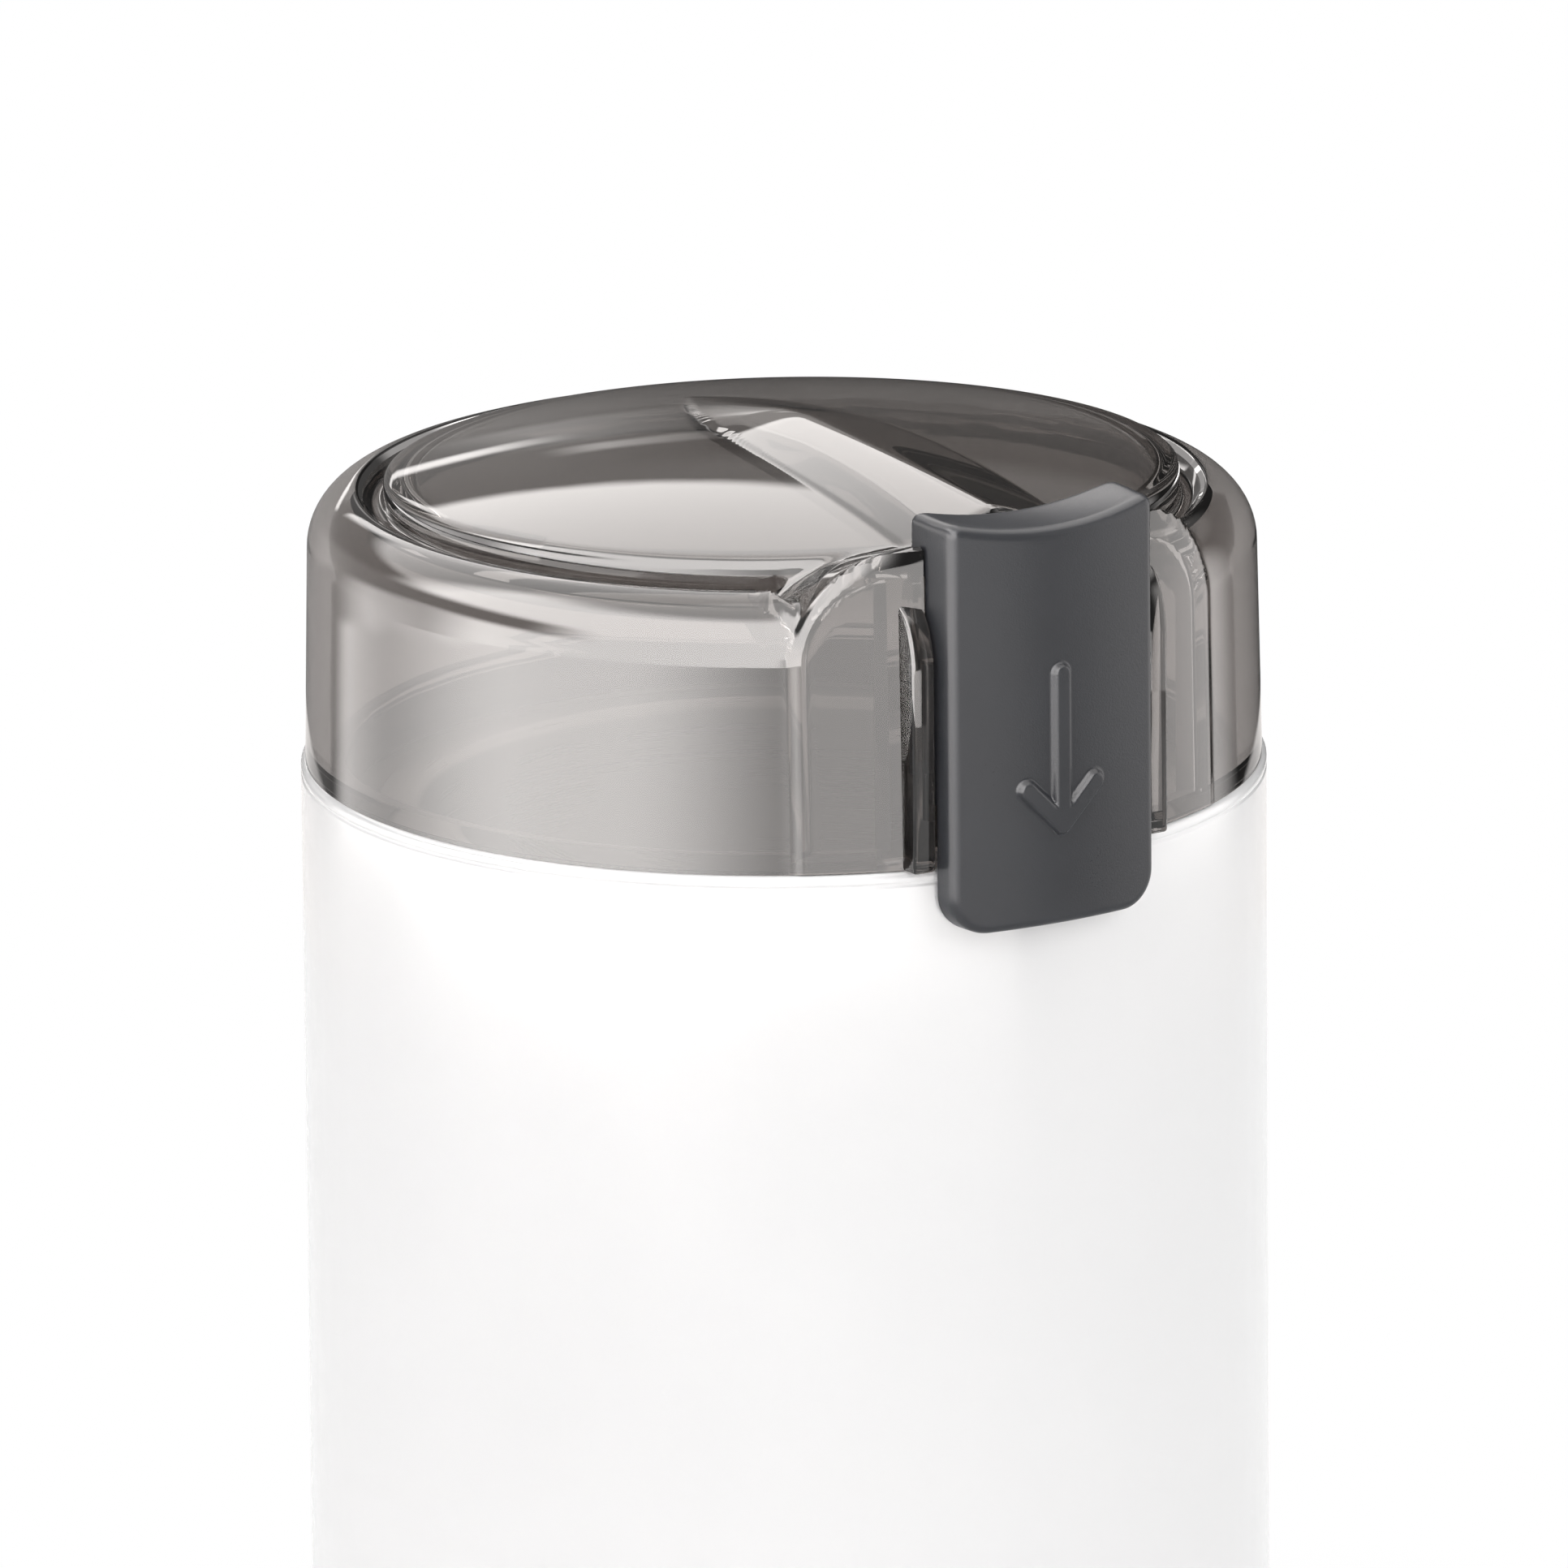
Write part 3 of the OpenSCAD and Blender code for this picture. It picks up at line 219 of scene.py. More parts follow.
@dataclass
class Draft:
    """Grids and faces of a mesh while it is made, in millimetres."""

    points: list[Array] = field(default_factory=list)
    faces: list[list[int]] = field(default_factory=list)
    count: int = 0

    def grid(
        self, surface: Array, wrap_rows: bool = False, wrap_cols: bool = True, capped: bool = False
    ) -> Draft:
        """Adds a grid of quads, facing the way that columns cross rows.

        Args:
            surface: Points, shape (rows, columns, 3).
            wrap_rows: Join the last row to the first.
            wrap_cols: Join the last column to the first.
            capped: Close the first and the last row with a face each.

        Returns:
            This draft.
        """
        rows, cols = surface.shape[:2]
        i = np.arange(rows if wrap_rows else rows - 1)[:, None]
        j = np.arange(cols if wrap_cols else cols - 1)[None, :]
        up, right = (i + 1) % rows, (j + 1) % cols
        quads = stacked(i * cols + j, i * cols + right, up * cols + right, up * cols + j)
        self.faces += (quads.reshape(-1, 4) + self.count).tolist()
        if capped:
            first, last = self.count, self.count + (rows - 1) * cols
            self.faces.append(list(range(first, first + cols))[::-1])
            self.faces.append(list(range(last, last + cols)))
        self.points.append(surface.reshape(-1, 3))
        self.count += rows * cols
        return self

    def prism(self, outline: Array, low: float, high: float) -> Draft:
        """Adds a closed prism: a counter-clockwise outline carried straight up."""
        walls = [stacked(*outline.T, level) for level in (low, high)]
        return self.grid(np.stack(walls), capped=True)

    def moved(self, matrix: Matrix) -> Draft:
        """Turns and moves all points so far by a matrix in millimetres."""
        turn = np.array(matrix)
        self.points = [p @ turn[:3, :3].T + turn[:3, 3] for p in self.points]
        return self

    def raised(self, z: float) -> Draft:
        """Moves all points so far up."""
        return self.moved(Matrix.Translation((0.0, 0.0, z)))

    def piece(self, name: str, sharp: float = SHARP) -> Piece:
        """Makes the mesh object, in metres, with its equal points merged.

        Args:
            name: Name of the object and its mesh.
            sharp: Angle in degrees past which an edge stays sharp.

        Returns:
            The new object, linked to the scene.
        """
        mesh = bpy.data.meshes.new(name)
        mesh.from_pydata((np.concatenate(self.points) * MM).tolist(), [], self.faces)
        weld(mesh)
        made = bpy.data.objects.new(name, mesh)
        bpy.context.scene.collection.objects.link(made)
        soften(made, sharp)
        return made


def weld(mesh: bpy.types.Mesh, distance: float = 2e-6) -> None:
    """Merges points closer than a distance, and drops faces that lose their area."""
    work = bmesh.new()
    work.from_mesh(mesh)
    bmesh.ops.remove_doubles(work, verts=work.verts, dist=distance)
    bmesh.ops.dissolve_degenerate(work, edges=work.edges, dist=distance / 4.0)
    work.to_mesh(mesh)
    work.free()
    mesh.update()


def soften(piece: Piece, sharp: float) -> None:
    """Shades a piece smooth, apart from edges sharper than an angle in degrees."""
    mesh = piece.data
    mesh.polygons.foreach_set("use_smooth", np.ones(len(mesh.polygons), bool))
    mesh.set_sharp_from_angle(angle=math.radians(sharp))


class Cut(Enum):
    """Ways of joining one solid to another."""

    AWAY = "DIFFERENCE"
    JOINED = "UNION"


def flip(piece: Piece) -> Piece:
    """Turns the faces of a closed solid outwards."""
    work = bmesh.new()
    work.from_mesh(piece.data)
    bmesh.ops.recalc_face_normals(work, faces=work.faces)
    work.to_mesh(piece.data)
    work.free()
    return piece


def modified(piece: Piece, kind: str, sharp: float, **settings: Any) -> Piece:
    """Applies one modifier to a piece, and shades the result.

    Args:
        piece: Piece whose mesh is replaced by the result.
        kind: Type name of the modifier.
        sharp: Angle in degrees past which an edge stays sharp.
        **settings: Properties of the modifier.

    Returns:
        The same piece.
    """
    work = piece.modifiers.new("work", kind)
    for key, value in settings.items():
        setattr(work, key, value)
    bpy.context.view_layer.update()
    result = piece.evaluated_get(bpy.context.evaluated_depsgraph_get())
    mesh = bpy.data.meshes.new_from_object(result)
    piece.modifiers.clear()
    old, piece.data = piece.data, mesh
    bpy.data.meshes.remove(old)
    mesh.name = piece.name
    soften(piece, sharp)
    return piece


def combine(piece: Piece, tool: Piece, way: Cut, sharp: float = SHARP) -> None:
    """Cuts a solid out of a piece, or joins it on, and deletes the tool."""
    modified(piece, "BOOLEAN", sharp, operation=way.value, object=tool, solver="MANIFOLD")
    bpy.data.meshes.remove(tool.data)


def bevelled(piece: Piece, width: float, past: float = 35.0, sharp: float = 50.0) -> Piece:
    """Rounds the edges past an angle in degrees by a width in millimetres."""
    limit = {"limit_method": "ANGLE", "angle_limit": math.radians(past)}
    return modified(piece, "BEVEL", sharp, width=width * MM, segments=3, **limit)


def boxed(
    piece: Piece, way: Cut, across: Ends, along: Ends, up: Ends, edge: float = 0.0, sharp: float = SHARP
) -> None:
    """Cuts a box out of a piece, or joins it on.

    Args:
        piece: Piece that is changed.
        way: What is done with the box.
        across: Both ends along X, in any order.
        along: Both ends along Y.
        up: Both ends along Z.
        edge: Radius of the upright edges.
        sharp: Angle in degrees past which an edge stays sharp.
    """
    (x0, x1), (y0, y1), (z0, z1) = sorted(across), sorted(along), sorted(up)
    plan = rounded([(x0, y0, edge), (x1, y0, edge), (x1, y1, edge), (x0, y1, edge)], 4)
    combine(piece, Draft().prism(plan, z0, z1).piece("tool"), way, sharp)


def cast(field_at: Callable, origin: Sequence[float] | Array, targets: Array, reach: float) -> Array:
    """Finds where rays from inside a solid leave it.

    The solid is where the field is negative. Each ray runs from the origin through a target,
    and its leaving point is found by halving the stretch that holds it, for all rays at once.

    Args:
        field_at: Function of points, shape (..., 3), that gives the field.
        origin: Point inside the solid, or one for each target.
        targets: Points that the rays run through, shape (..., 3).
        reach: Length of ray that is surely outside.

    Returns:
        Points on the solid's surface, of the targets' shape.
    """
    start = np.array(origin, float)
    ray = targets - start
    ray /= np.linalg.norm(ray, axis=-1, keepdims=True)
    near, far = np.zeros(ray.shape[:-1]), np.full(ray.shape[:-1], reach)
    for _ in range(HALVINGS):
        middle = (near + far) / 2.0
        inside = field_at(start + ray * middle[..., None]) < 0.0
        near, far = np.where(inside, middle, near), np.where(inside, far, middle)
    return start + ray * ((near + far) / 2.0)[..., None]


# ---- Shader maths ----


def operator(operation: str, swapped: bool = False) -> Callable:
    """An operator of Signal that adds a Math node, with its two values swapped or not."""

    def applied(self: Signal, other: Signal | float) -> Signal:
        """Adds the node."""
        first, second = (other, self) if swapped else (self, other)
        return self.nodes.maths(operation, first, second)

    return applied


class Signal:
    """A socket's value, with the arithmetic that adds Math nodes."""

    def __init__(self, nodes: Nodes, socket: bpy.types.NodeSocket) -> None:
        """Wraps a socket of a node tree."""
        self.nodes, self.socket = nodes, socket

    __add__ = __radd__ = operator("ADD")
    __mul__ = __rmul__ = operator("MULTIPLY")
    __sub__, __rsub__ = operator("SUBTRACT"), operator("SUBTRACT", swapped=True)
    __pow__ = operator("POWER")

    def wave(self) -> Signal:
        """Sine."""
        return self.nodes.maths("SINE", self, 0.0)

    def step(self, low: float, high: float) -> Signal:
        """Rises smoothly from 0 at low to 1 at high."""
        inputs = {"Value": self, "From Min": low, "From Max": high}
        return self.nodes.node("ShaderNodeMapRange", {"interpolation_type": "SMOOTHSTEP"}, inputs)


class Nodes:
    """A node tree, with one way of adding any node to it."""

    def __init__(self, tree: bpy.types.NodeTree) -> None:
        """Wraps a tree."""
        self.tree = tree

    def feed(self, socket: bpy.types.NodeSocket, value: Any) -> None:
        """Links a signal to a socket, or sets a plain value on it."""
        if isinstance(value, Signal):
            self.tree.links.new(value.socket, socket)
        else:
            socket.default_value = value

    def node(
        self,
        kind: str,
        settings: dict[str, Any] | None = None,
        inputs: dict[Any, Any] | None = None,
        output: int | str = 0,
    ) -> Signal:
        """Adds any node.

        Args:
            kind: Type name of the node.
            settings: Properties that are set first.
            inputs: Values or signals by socket name or number.
            output: Name or number of the output to return.

        Returns:
            The chosen output.
        """
        made = self.tree.nodes.new(kind)
        for key, value in (settings or {}).items():
            setattr(made, key, value)
        for key, value in (inputs or {}).items():
            self.feed(made.inputs[key], value)
        return Signal(self, made.outputs[output])

    def maths(self, operation: str, first: Signal | float, second: Signal | float) -> Signal:
        """Adds a Math node for two values."""
        return self.node("ShaderNodeMath", {"operation": operation}, {0: first, 1: second})

    def seen(self) -> Signal:
        """1 for rays from the camera, a mirror or a clear part, and 0 for the rest."""
        total = self.node("ShaderNodeLightPath", output="Is Camera Ray")
        rays = total.socket.node.outputs
        for name in ("Is Glossy Ray", "Is Transmission Ray"):
            total = self.maths("MAXIMUM", total, Signal(self, rays[name]))
        return total


class Shading(Nodes):
    """Node tree of one material, around its Principled shader."""

    def __init__(self, name: str) -> None:
        """Makes a material with a name and finds its shader."""
        self.material = bpy.data.materials.new(name)
        self.material.use_nodes = True
        super().__init__(self.material.node_tree)
        self.shader = self.tree.nodes["Principled BSDF"]

    def place(self) -> Signal:
        """Object coordinates, in metres."""
        return self.node("ShaderNodeTexCoord", output="Object")

    def axes(self, centre: Sequence[float] = (0.0, 0.0, 0.0)) -> list[Signal]:
        """Distances along X, Y and Z from a centre, in millimetres."""
        spot = self.node("ShaderNodeSeparateXYZ", inputs={0: self.place()})
        outs = spot.socket.node.outputs
        return [Signal(self, outs[i]) * PER_METRE - centre[i] for i in range(3)]

    def noise(self, size: float, detail: float = 3.0, spot: Signal | None = None) -> Signal:
        """Cloudy noise from 0 to 1, whose features are about a size in millimetres."""
        scale = 1.0 / size if spot is not None else PER_METRE / size
        inputs = {"Vector": spot or self.place(), "Scale": scale, "Detail": detail}
        return self.node("ShaderNodeTexNoise", inputs=inputs)

    def vector(self, x: Signal | float, y: Signal | float, z: Signal | float) -> Signal:
        """Joins three values to a vector."""
        return self.node("ShaderNodeCombineXYZ", inputs={0: x, 1: y, 2: z})

    def blend(self, amount: Signal, first: Any, second: Any) -> Signal:
        """Mixes two colours, from the first at 0 to the second at 1."""
        ends = [(*c, 1.0) if isinstance(c, tuple) else c for c in (first, second)]
        inputs = {0: amount, 6: ends[0], 7: ends[1]}
        return self.node("ShaderNodeMix", {"data_type": "RGBA"}, inputs, 2)

    def bump(self, height: Signal, depth: float) -> Signal:
        """Normal that follows a height of 0 to 1, a depth in millimetres tall."""
        return self.node("ShaderNodeBump", inputs={"Height": height, "Distance": depth * MM})

    def glow(self, colour: Colour, level: Signal | float) -> Signal:
        """Light of a colour, as bright as a level."""
        return self.node("ShaderNodeEmission", inputs={"Color": (*colour, 1.0), "Strength": level})

    def shown(self, surface: Signal) -> Material:
        """Shows another surface in place of the shader's."""
        self.feed(self.tree.nodes["Material Output"].inputs["Surface"], surface)
        return self.material

    def surface(self, **sockets: Any) -> Material:
        """Sets sockets of the shader, with _ for each space in a name.

        Args:
            **sockets: Values or signals by socket name.

        Returns:
            The finished material.
        """
        for key, value in sockets.items():
            if isinstance(value, tuple) and len(value) == 3:
                value = (*value, 1.0)
            self.feed(self.shader.inputs[key.replace("_", " ")], value)
        return self.material


def tinted(colour: Colour, factor: float) -> Colour:
    """A colour made darker or lighter by a factor."""
    return tuple(min(1.0, c * factor) for c in colour)


@dataclass(frozen=True)
class GlossPlastic:
    """Polished moulded plastic: a faint orange-peel swell and fine handling marks."""

    colour: Colour
    rough: float = 0.16
    coat: float = 0.25
    swell: float = 0.012

    def make(self, name: str) -> Material:
        """Makes the material."""
        s = Shading(name)
        cloud = s.noise(18.0, 4.0)
        marks = s.noise(0.7, 5.0).step(0.52, 0.75)
        peel = s.noise(3.2, 1.0)
        return s.surface(
            Base_Color=s.blend(cloud, tinted(self.colour, 0.985), self.colour),
            Roughness=cloud * 0.06 + marks * 0.05 + (self.rough - 0.03),
            Coat_Weight=self.coat,
            Coat_Roughness=0.05,
            Normal=s.bump(peel, self.swell),
        )


@dataclass(frozen=True)
class SatinPlastic:
    """Spark-eroded moulding: an even fine grain over a slow change of sheen."""

    colour: Colour
    rough: float = 0.42
    grain: float = 0.22
    depth: float = 0.02
    shade: float = 0.93
    gleam: float = 0.5

    def make(self, name: str) -> Material:
        """Makes the material."""
        s = Shading(name)
        cloud = s.noise(11.0, 4.0)
        grain = s.noise(self.grain, 2.0)
        return s.surface(
            Base_Color=s.blend(cloud.step(0.3, 0.7), tinted(self.colour, self.shade), self.colour),
            Roughness=self.rough + cloud * 0.08 + grain * 0.06 - 0.07,
            Specular_IOR_Level=self.gleam,
            Normal=s.bump(grain, self.depth),
        )


@dataclass(frozen=True)
class SmokedClear:
    """Clear smoked plastic, thick enough to bend what lies behind it.

    The polished faces swell slowly, as moulded covers do, which bends the edges of what they
    mirror. The crown's tint is a shade deeper than the wall's: painted shade over the dome.
    """

    wall: Colour
    crown: Colour
    painted_shade_z: float
    swell: float = 0.012

    def make(self, name: str) -> Material:
        """Makes the material."""
        s = Shading(name)
        z = s.axes()[2]
        sink = s.noise(9.0, 1.0)
        ripple = s.noise(3.0, 0.0)
        # painted shade: the tint deepens from the wall's colour to the darker crown colour above this
        # height
        deep = z.step(self.painted_shade_z - 1.5, self.painted_shade_z + 2.0)
        faint = s.noise(30.0, 2.0).step(0.3, 0.7)
        tint = s.blend(deep, self.wall, self.crown)
        return s.surface(
            Base_Color=s.blend(faint * 0.12, tint, tinted(self.crown, 0.9)),
            Roughness=0.0,
            IOR=1.57,
            Transmission_Weight=1.0,
            Normal=s.bump(sink * 0.85 + ripple * 0.15, self.swell),
        )


@dataclass(frozen=True)
class Rubber:
    """Soft moulded rubber: pale dust on a matt, pitted skin."""

    colour: Colour

    def make(self, name: str) -> Material:
        """Makes the material."""
        s = Shading(name)
        dust = s.noise(2.5, 6.0).step(0.45, 0.8)
        pits = s.noise(0.3, 3.0)
        return s.surface(
            Base_Color=s.blend(dust * 0.35, self.colour, tinted(self.colour, 2.2)),
            Roughness=0.62 + dust * 0.2,
            Normal=s.bump(pits, 0.03),
        )


@dataclass(frozen=True)
class TurnedMetal:
    """Metal worked on a lathe or spun: rings around the vertical axis through the middle."""

    colour: Colour
    rough: float = 0.3
    pitch: float = 0.25
    depth: float = 0.006

    def make(self, name: str) -> Material:
        """Makes the material."""
        s = Shading(name)
        x, y, z = s.axes()
        radius = (x**2.0 + y**2.0) ** 0.5
        line = s.noise(self.pitch, 3.0, s.vector(radius, z, 0.0))
        broad = s.noise(4.0, 3.0, s.vector(radius, z, 0.0))
        stain = s.noise(9.0, 4.0).step(0.35, 0.75)
        return s.surface(
            Base_Color=s.blend(line * 0.5 + stain * 0.3, self.colour, tinted(self.colour, 0.82)),
            Metallic=1.0,
            Roughness=self.rough + line * 0.14 + broad * 0.1 + stain * 0.04 - 0.14,
            Normal=s.bump(line, self.depth),
        )


@dataclass(frozen=True)
class GrainedMetal:
    """Rolled, ground or plated sheet: long fine lines along one axis and small marks."""

    colour: Colour
    rough: float = 0.3
    along: int = 0
    lines: float = 0.12
    depth: float = 0.006

    def make(self, name: str) -> Material:
        """Makes the material."""
        s = Shading(name)
        axes = s.axes()
        axes[self.along] = axes[self.along] * 0.03
        line = s.noise(self.lines, 2.0, s.vector(*axes))
        stain = s.noise(5.0, 5.0).step(0.35, 0.7)
        return s.surface(
            Base_Color=s.blend(stain * 0.5 + line * 0.3, self.colour, tinted(self.colour, 0.78)),
            Metallic=1.0,
            Roughness=self.rough + line * 0.16 + stain * 0.08 - 0.12,
            Normal=s.bump(line, self.depth),
        )


@dataclass(frozen=True)
class Laminated:
    """Stack of blackened sheets: a dark seam at every sheet's edge."""

    colour: Colour
    sheet: float = 0.5

    def make(self, name: str) -> Material:
        """Makes the material."""
        s = Shading(name)
        z = s.axes()[2]
        seam = ((z * (TURN / self.sheet)).wave() * 0.5 + 0.5) ** 4.0
        rust = s.noise(3.0, 5.0).step(0.55, 0.8)
        tone = s.blend(seam, self.colour, tinted(self.colour, 0.35))
        return s.surface(
            Base_Color=s.blend(rust * 0.5, tone, (0.22, 0.12, 0.07)),
            Metallic=0.8,
            Roughness=0.42 + seam * 0.3 + rust * 0.2,
            Normal=s.bump(1.0 - seam, 0.06),
        )


@dataclass(frozen=True)
class Windings:
    """Enamelled copper wire in close turns under a thin uneven varnish, with painted shade between
    turns.
    """

    colour: Colour
    wire: float = 0.55
    tilt: float = 0.35

    def make(self, name: str) -> Material:
        """Makes the material."""
        s = Shading(name)
        x, y, z = s.axes()
        lay = (z + (x + y) * self.tilt) * (TURN / self.wire)
        turns = lay.wave() * 0.5 + 0.5
        varnish = s.noise(2.2, 4.0).step(0.4, 0.7)
        # painted shade: the base colour darkens to 0.3 of the wire's in the valleys between turns
        tone = s.blend(turns, tinted(self.colour, 0.3), self.colour)
        return s.surface(
            Base_Color=s.blend(varnish * 0.35, tone, (0.25, 0.09, 0.03)),
            Metallic=0.75,
            Roughness=0.3 + varnish * 0.25,
            Coat_Weight=0.4,
            Normal=s.bump(turns, 0.16),
        )


@dataclass(frozen=True)
class Carbon:
    """Pressed carbon: grey sparkle in a sooty ground."""

    colour: Colour

    def make(self, name: str) -> Material:
        """Makes the material."""
        s = Shading(name)
        fleck = s.noise(0.15, 3.0).step(0.6, 0.75)
        return s.surface(
            Base_Color=s.blend(fleck, self.colour, (0.25, 0.25, 0.27)),
            Metallic=fleck * 0.5,
            Roughness=0.6 - fleck * 0.25,
            Normal=s.bump(s.noise(0.4, 4.0), 0.03),
        )


FINISHES = {
    "white_shell": GlossPlastic((0.9, 0.9, 0.905)),
    "base_plastic": SatinPlastic((0.86, 0.86, 0.85)),
    "rubber_pads": Rubber((0.06, 0.06, 0.062)),
    "rubber_gland": Rubber((0.04, 0.04, 0.042)),
    "zinc_screws": GrainedMetal((0.72, 0.73, 0.74), 0.28, 2),
    "frame_plastic": SatinPlastic((0.83, 0.83, 0.81), 0.38),
    "bowl_steel": TurnedMetal((0.8, 0.8, 0.8), 0.3),
    "gasket_rubber": Rubber((0.12, 0.12, 0.12)),
    "seal_rubber": Rubber((0.03, 0.03, 0.03)),
    # smoke_clear's second colour, the deeper crown tint, is painted shade over the dome
    "smoke_clear": SmokedClear((0.335, 0.309, 0.296), (0.25, 0.231, 0.219), 156.0),
    "button_plastic": SatinPlastic((0.032, 0.034, 0.039), 0.3, 0.16, 0.012, 0.9, 0.3),
    "rod_plastic": SatinPlastic((0.85, 0.82, 0.72), 0.4),
    "spring_wire": GrainedMetal((0.75, 0.75, 0.76), 0.22, 2),
    "switch_plastic": SatinPlastic((0.03, 0.03, 0.03), 0.5),
    "lever_brass": GrainedMetal((0.8, 0.62, 0.3), 0.3, 0),
    "plunger_plastic": SatinPlastic((0.55, 0.06, 0.05), 0.4),
    "terminal_brass": GrainedMetal((0.78, 0.6, 0.28), 0.3, 2),
    "shaft_steel": TurnedMetal((0.7, 0.71, 0.72), 0.22, 0.12),
    "laminated_steel": Laminated((0.25, 0.26, 0.28)),
    "copper_windings": Windings((0.75, 0.33, 0.15)),
    "commutator_copper": TurnedMetal((0.9, 0.5, 0.33), 0.24, 0.2),
    "fan_plastic": SatinPlastic((0.82, 0.8, 0.7), 0.45),
    "blade_steel": GrainedMetal((0.82, 0.82, 0.83), 0.24, 0),
    "bracket_steel": GrainedMetal((0.6, 0.61, 0.62), 0.34, 1),
    "carbon": Carbon((0.03, 0.03, 0.032)),
    "suppressor_case": SatinPlastic((0.06, 0.16, 0.36), 0.35),
    "lead_insulation": GlossPlastic((0.36, 0.03, 0.03), 0.3, 0.1),
}


class Wardrobe:
    """The finishes, each made once and given to pieces and nodes by the record's slot."""

    def __init__(self, record: dict[str, Any]) -> None:
        """Makes every finish that the record names."""
        self.made = {name: finish.make(name) for name, finish in FINISHES.items()}
        self.slot_of = {row["node"]: row["material_slot"] for row in record["subparts"]}

    def dress(self, piece: Piece, slot: str) -> None:
        """Gives a new piece its finish."""
        piece.data.materials.clear()
        piece.data.materials.append(self.made[slot])

    def dress_node(self, name: str, node: Piece) -> None:
        """Gives a node of the construction model its finish."""
        finish = self.made[self.slot_of[name]]
        if not node.material_slots:
            node.data.materials.append(finish)
        for place in node.material_slots:
            place.material = finish


# ---- The lid ----


@dataclass(frozen=True)
class Rim:
    """Sizes that the lid, the button and the shell share, read from the frame."""

    body_r: float
    z: float

    @classmethod
    def from_frame(cls) -> Rim:
        """Reads the shell's radius and the height of its rim."""
        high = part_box("housing")[1]
        return cls(high.x / MM, high.z / MM)


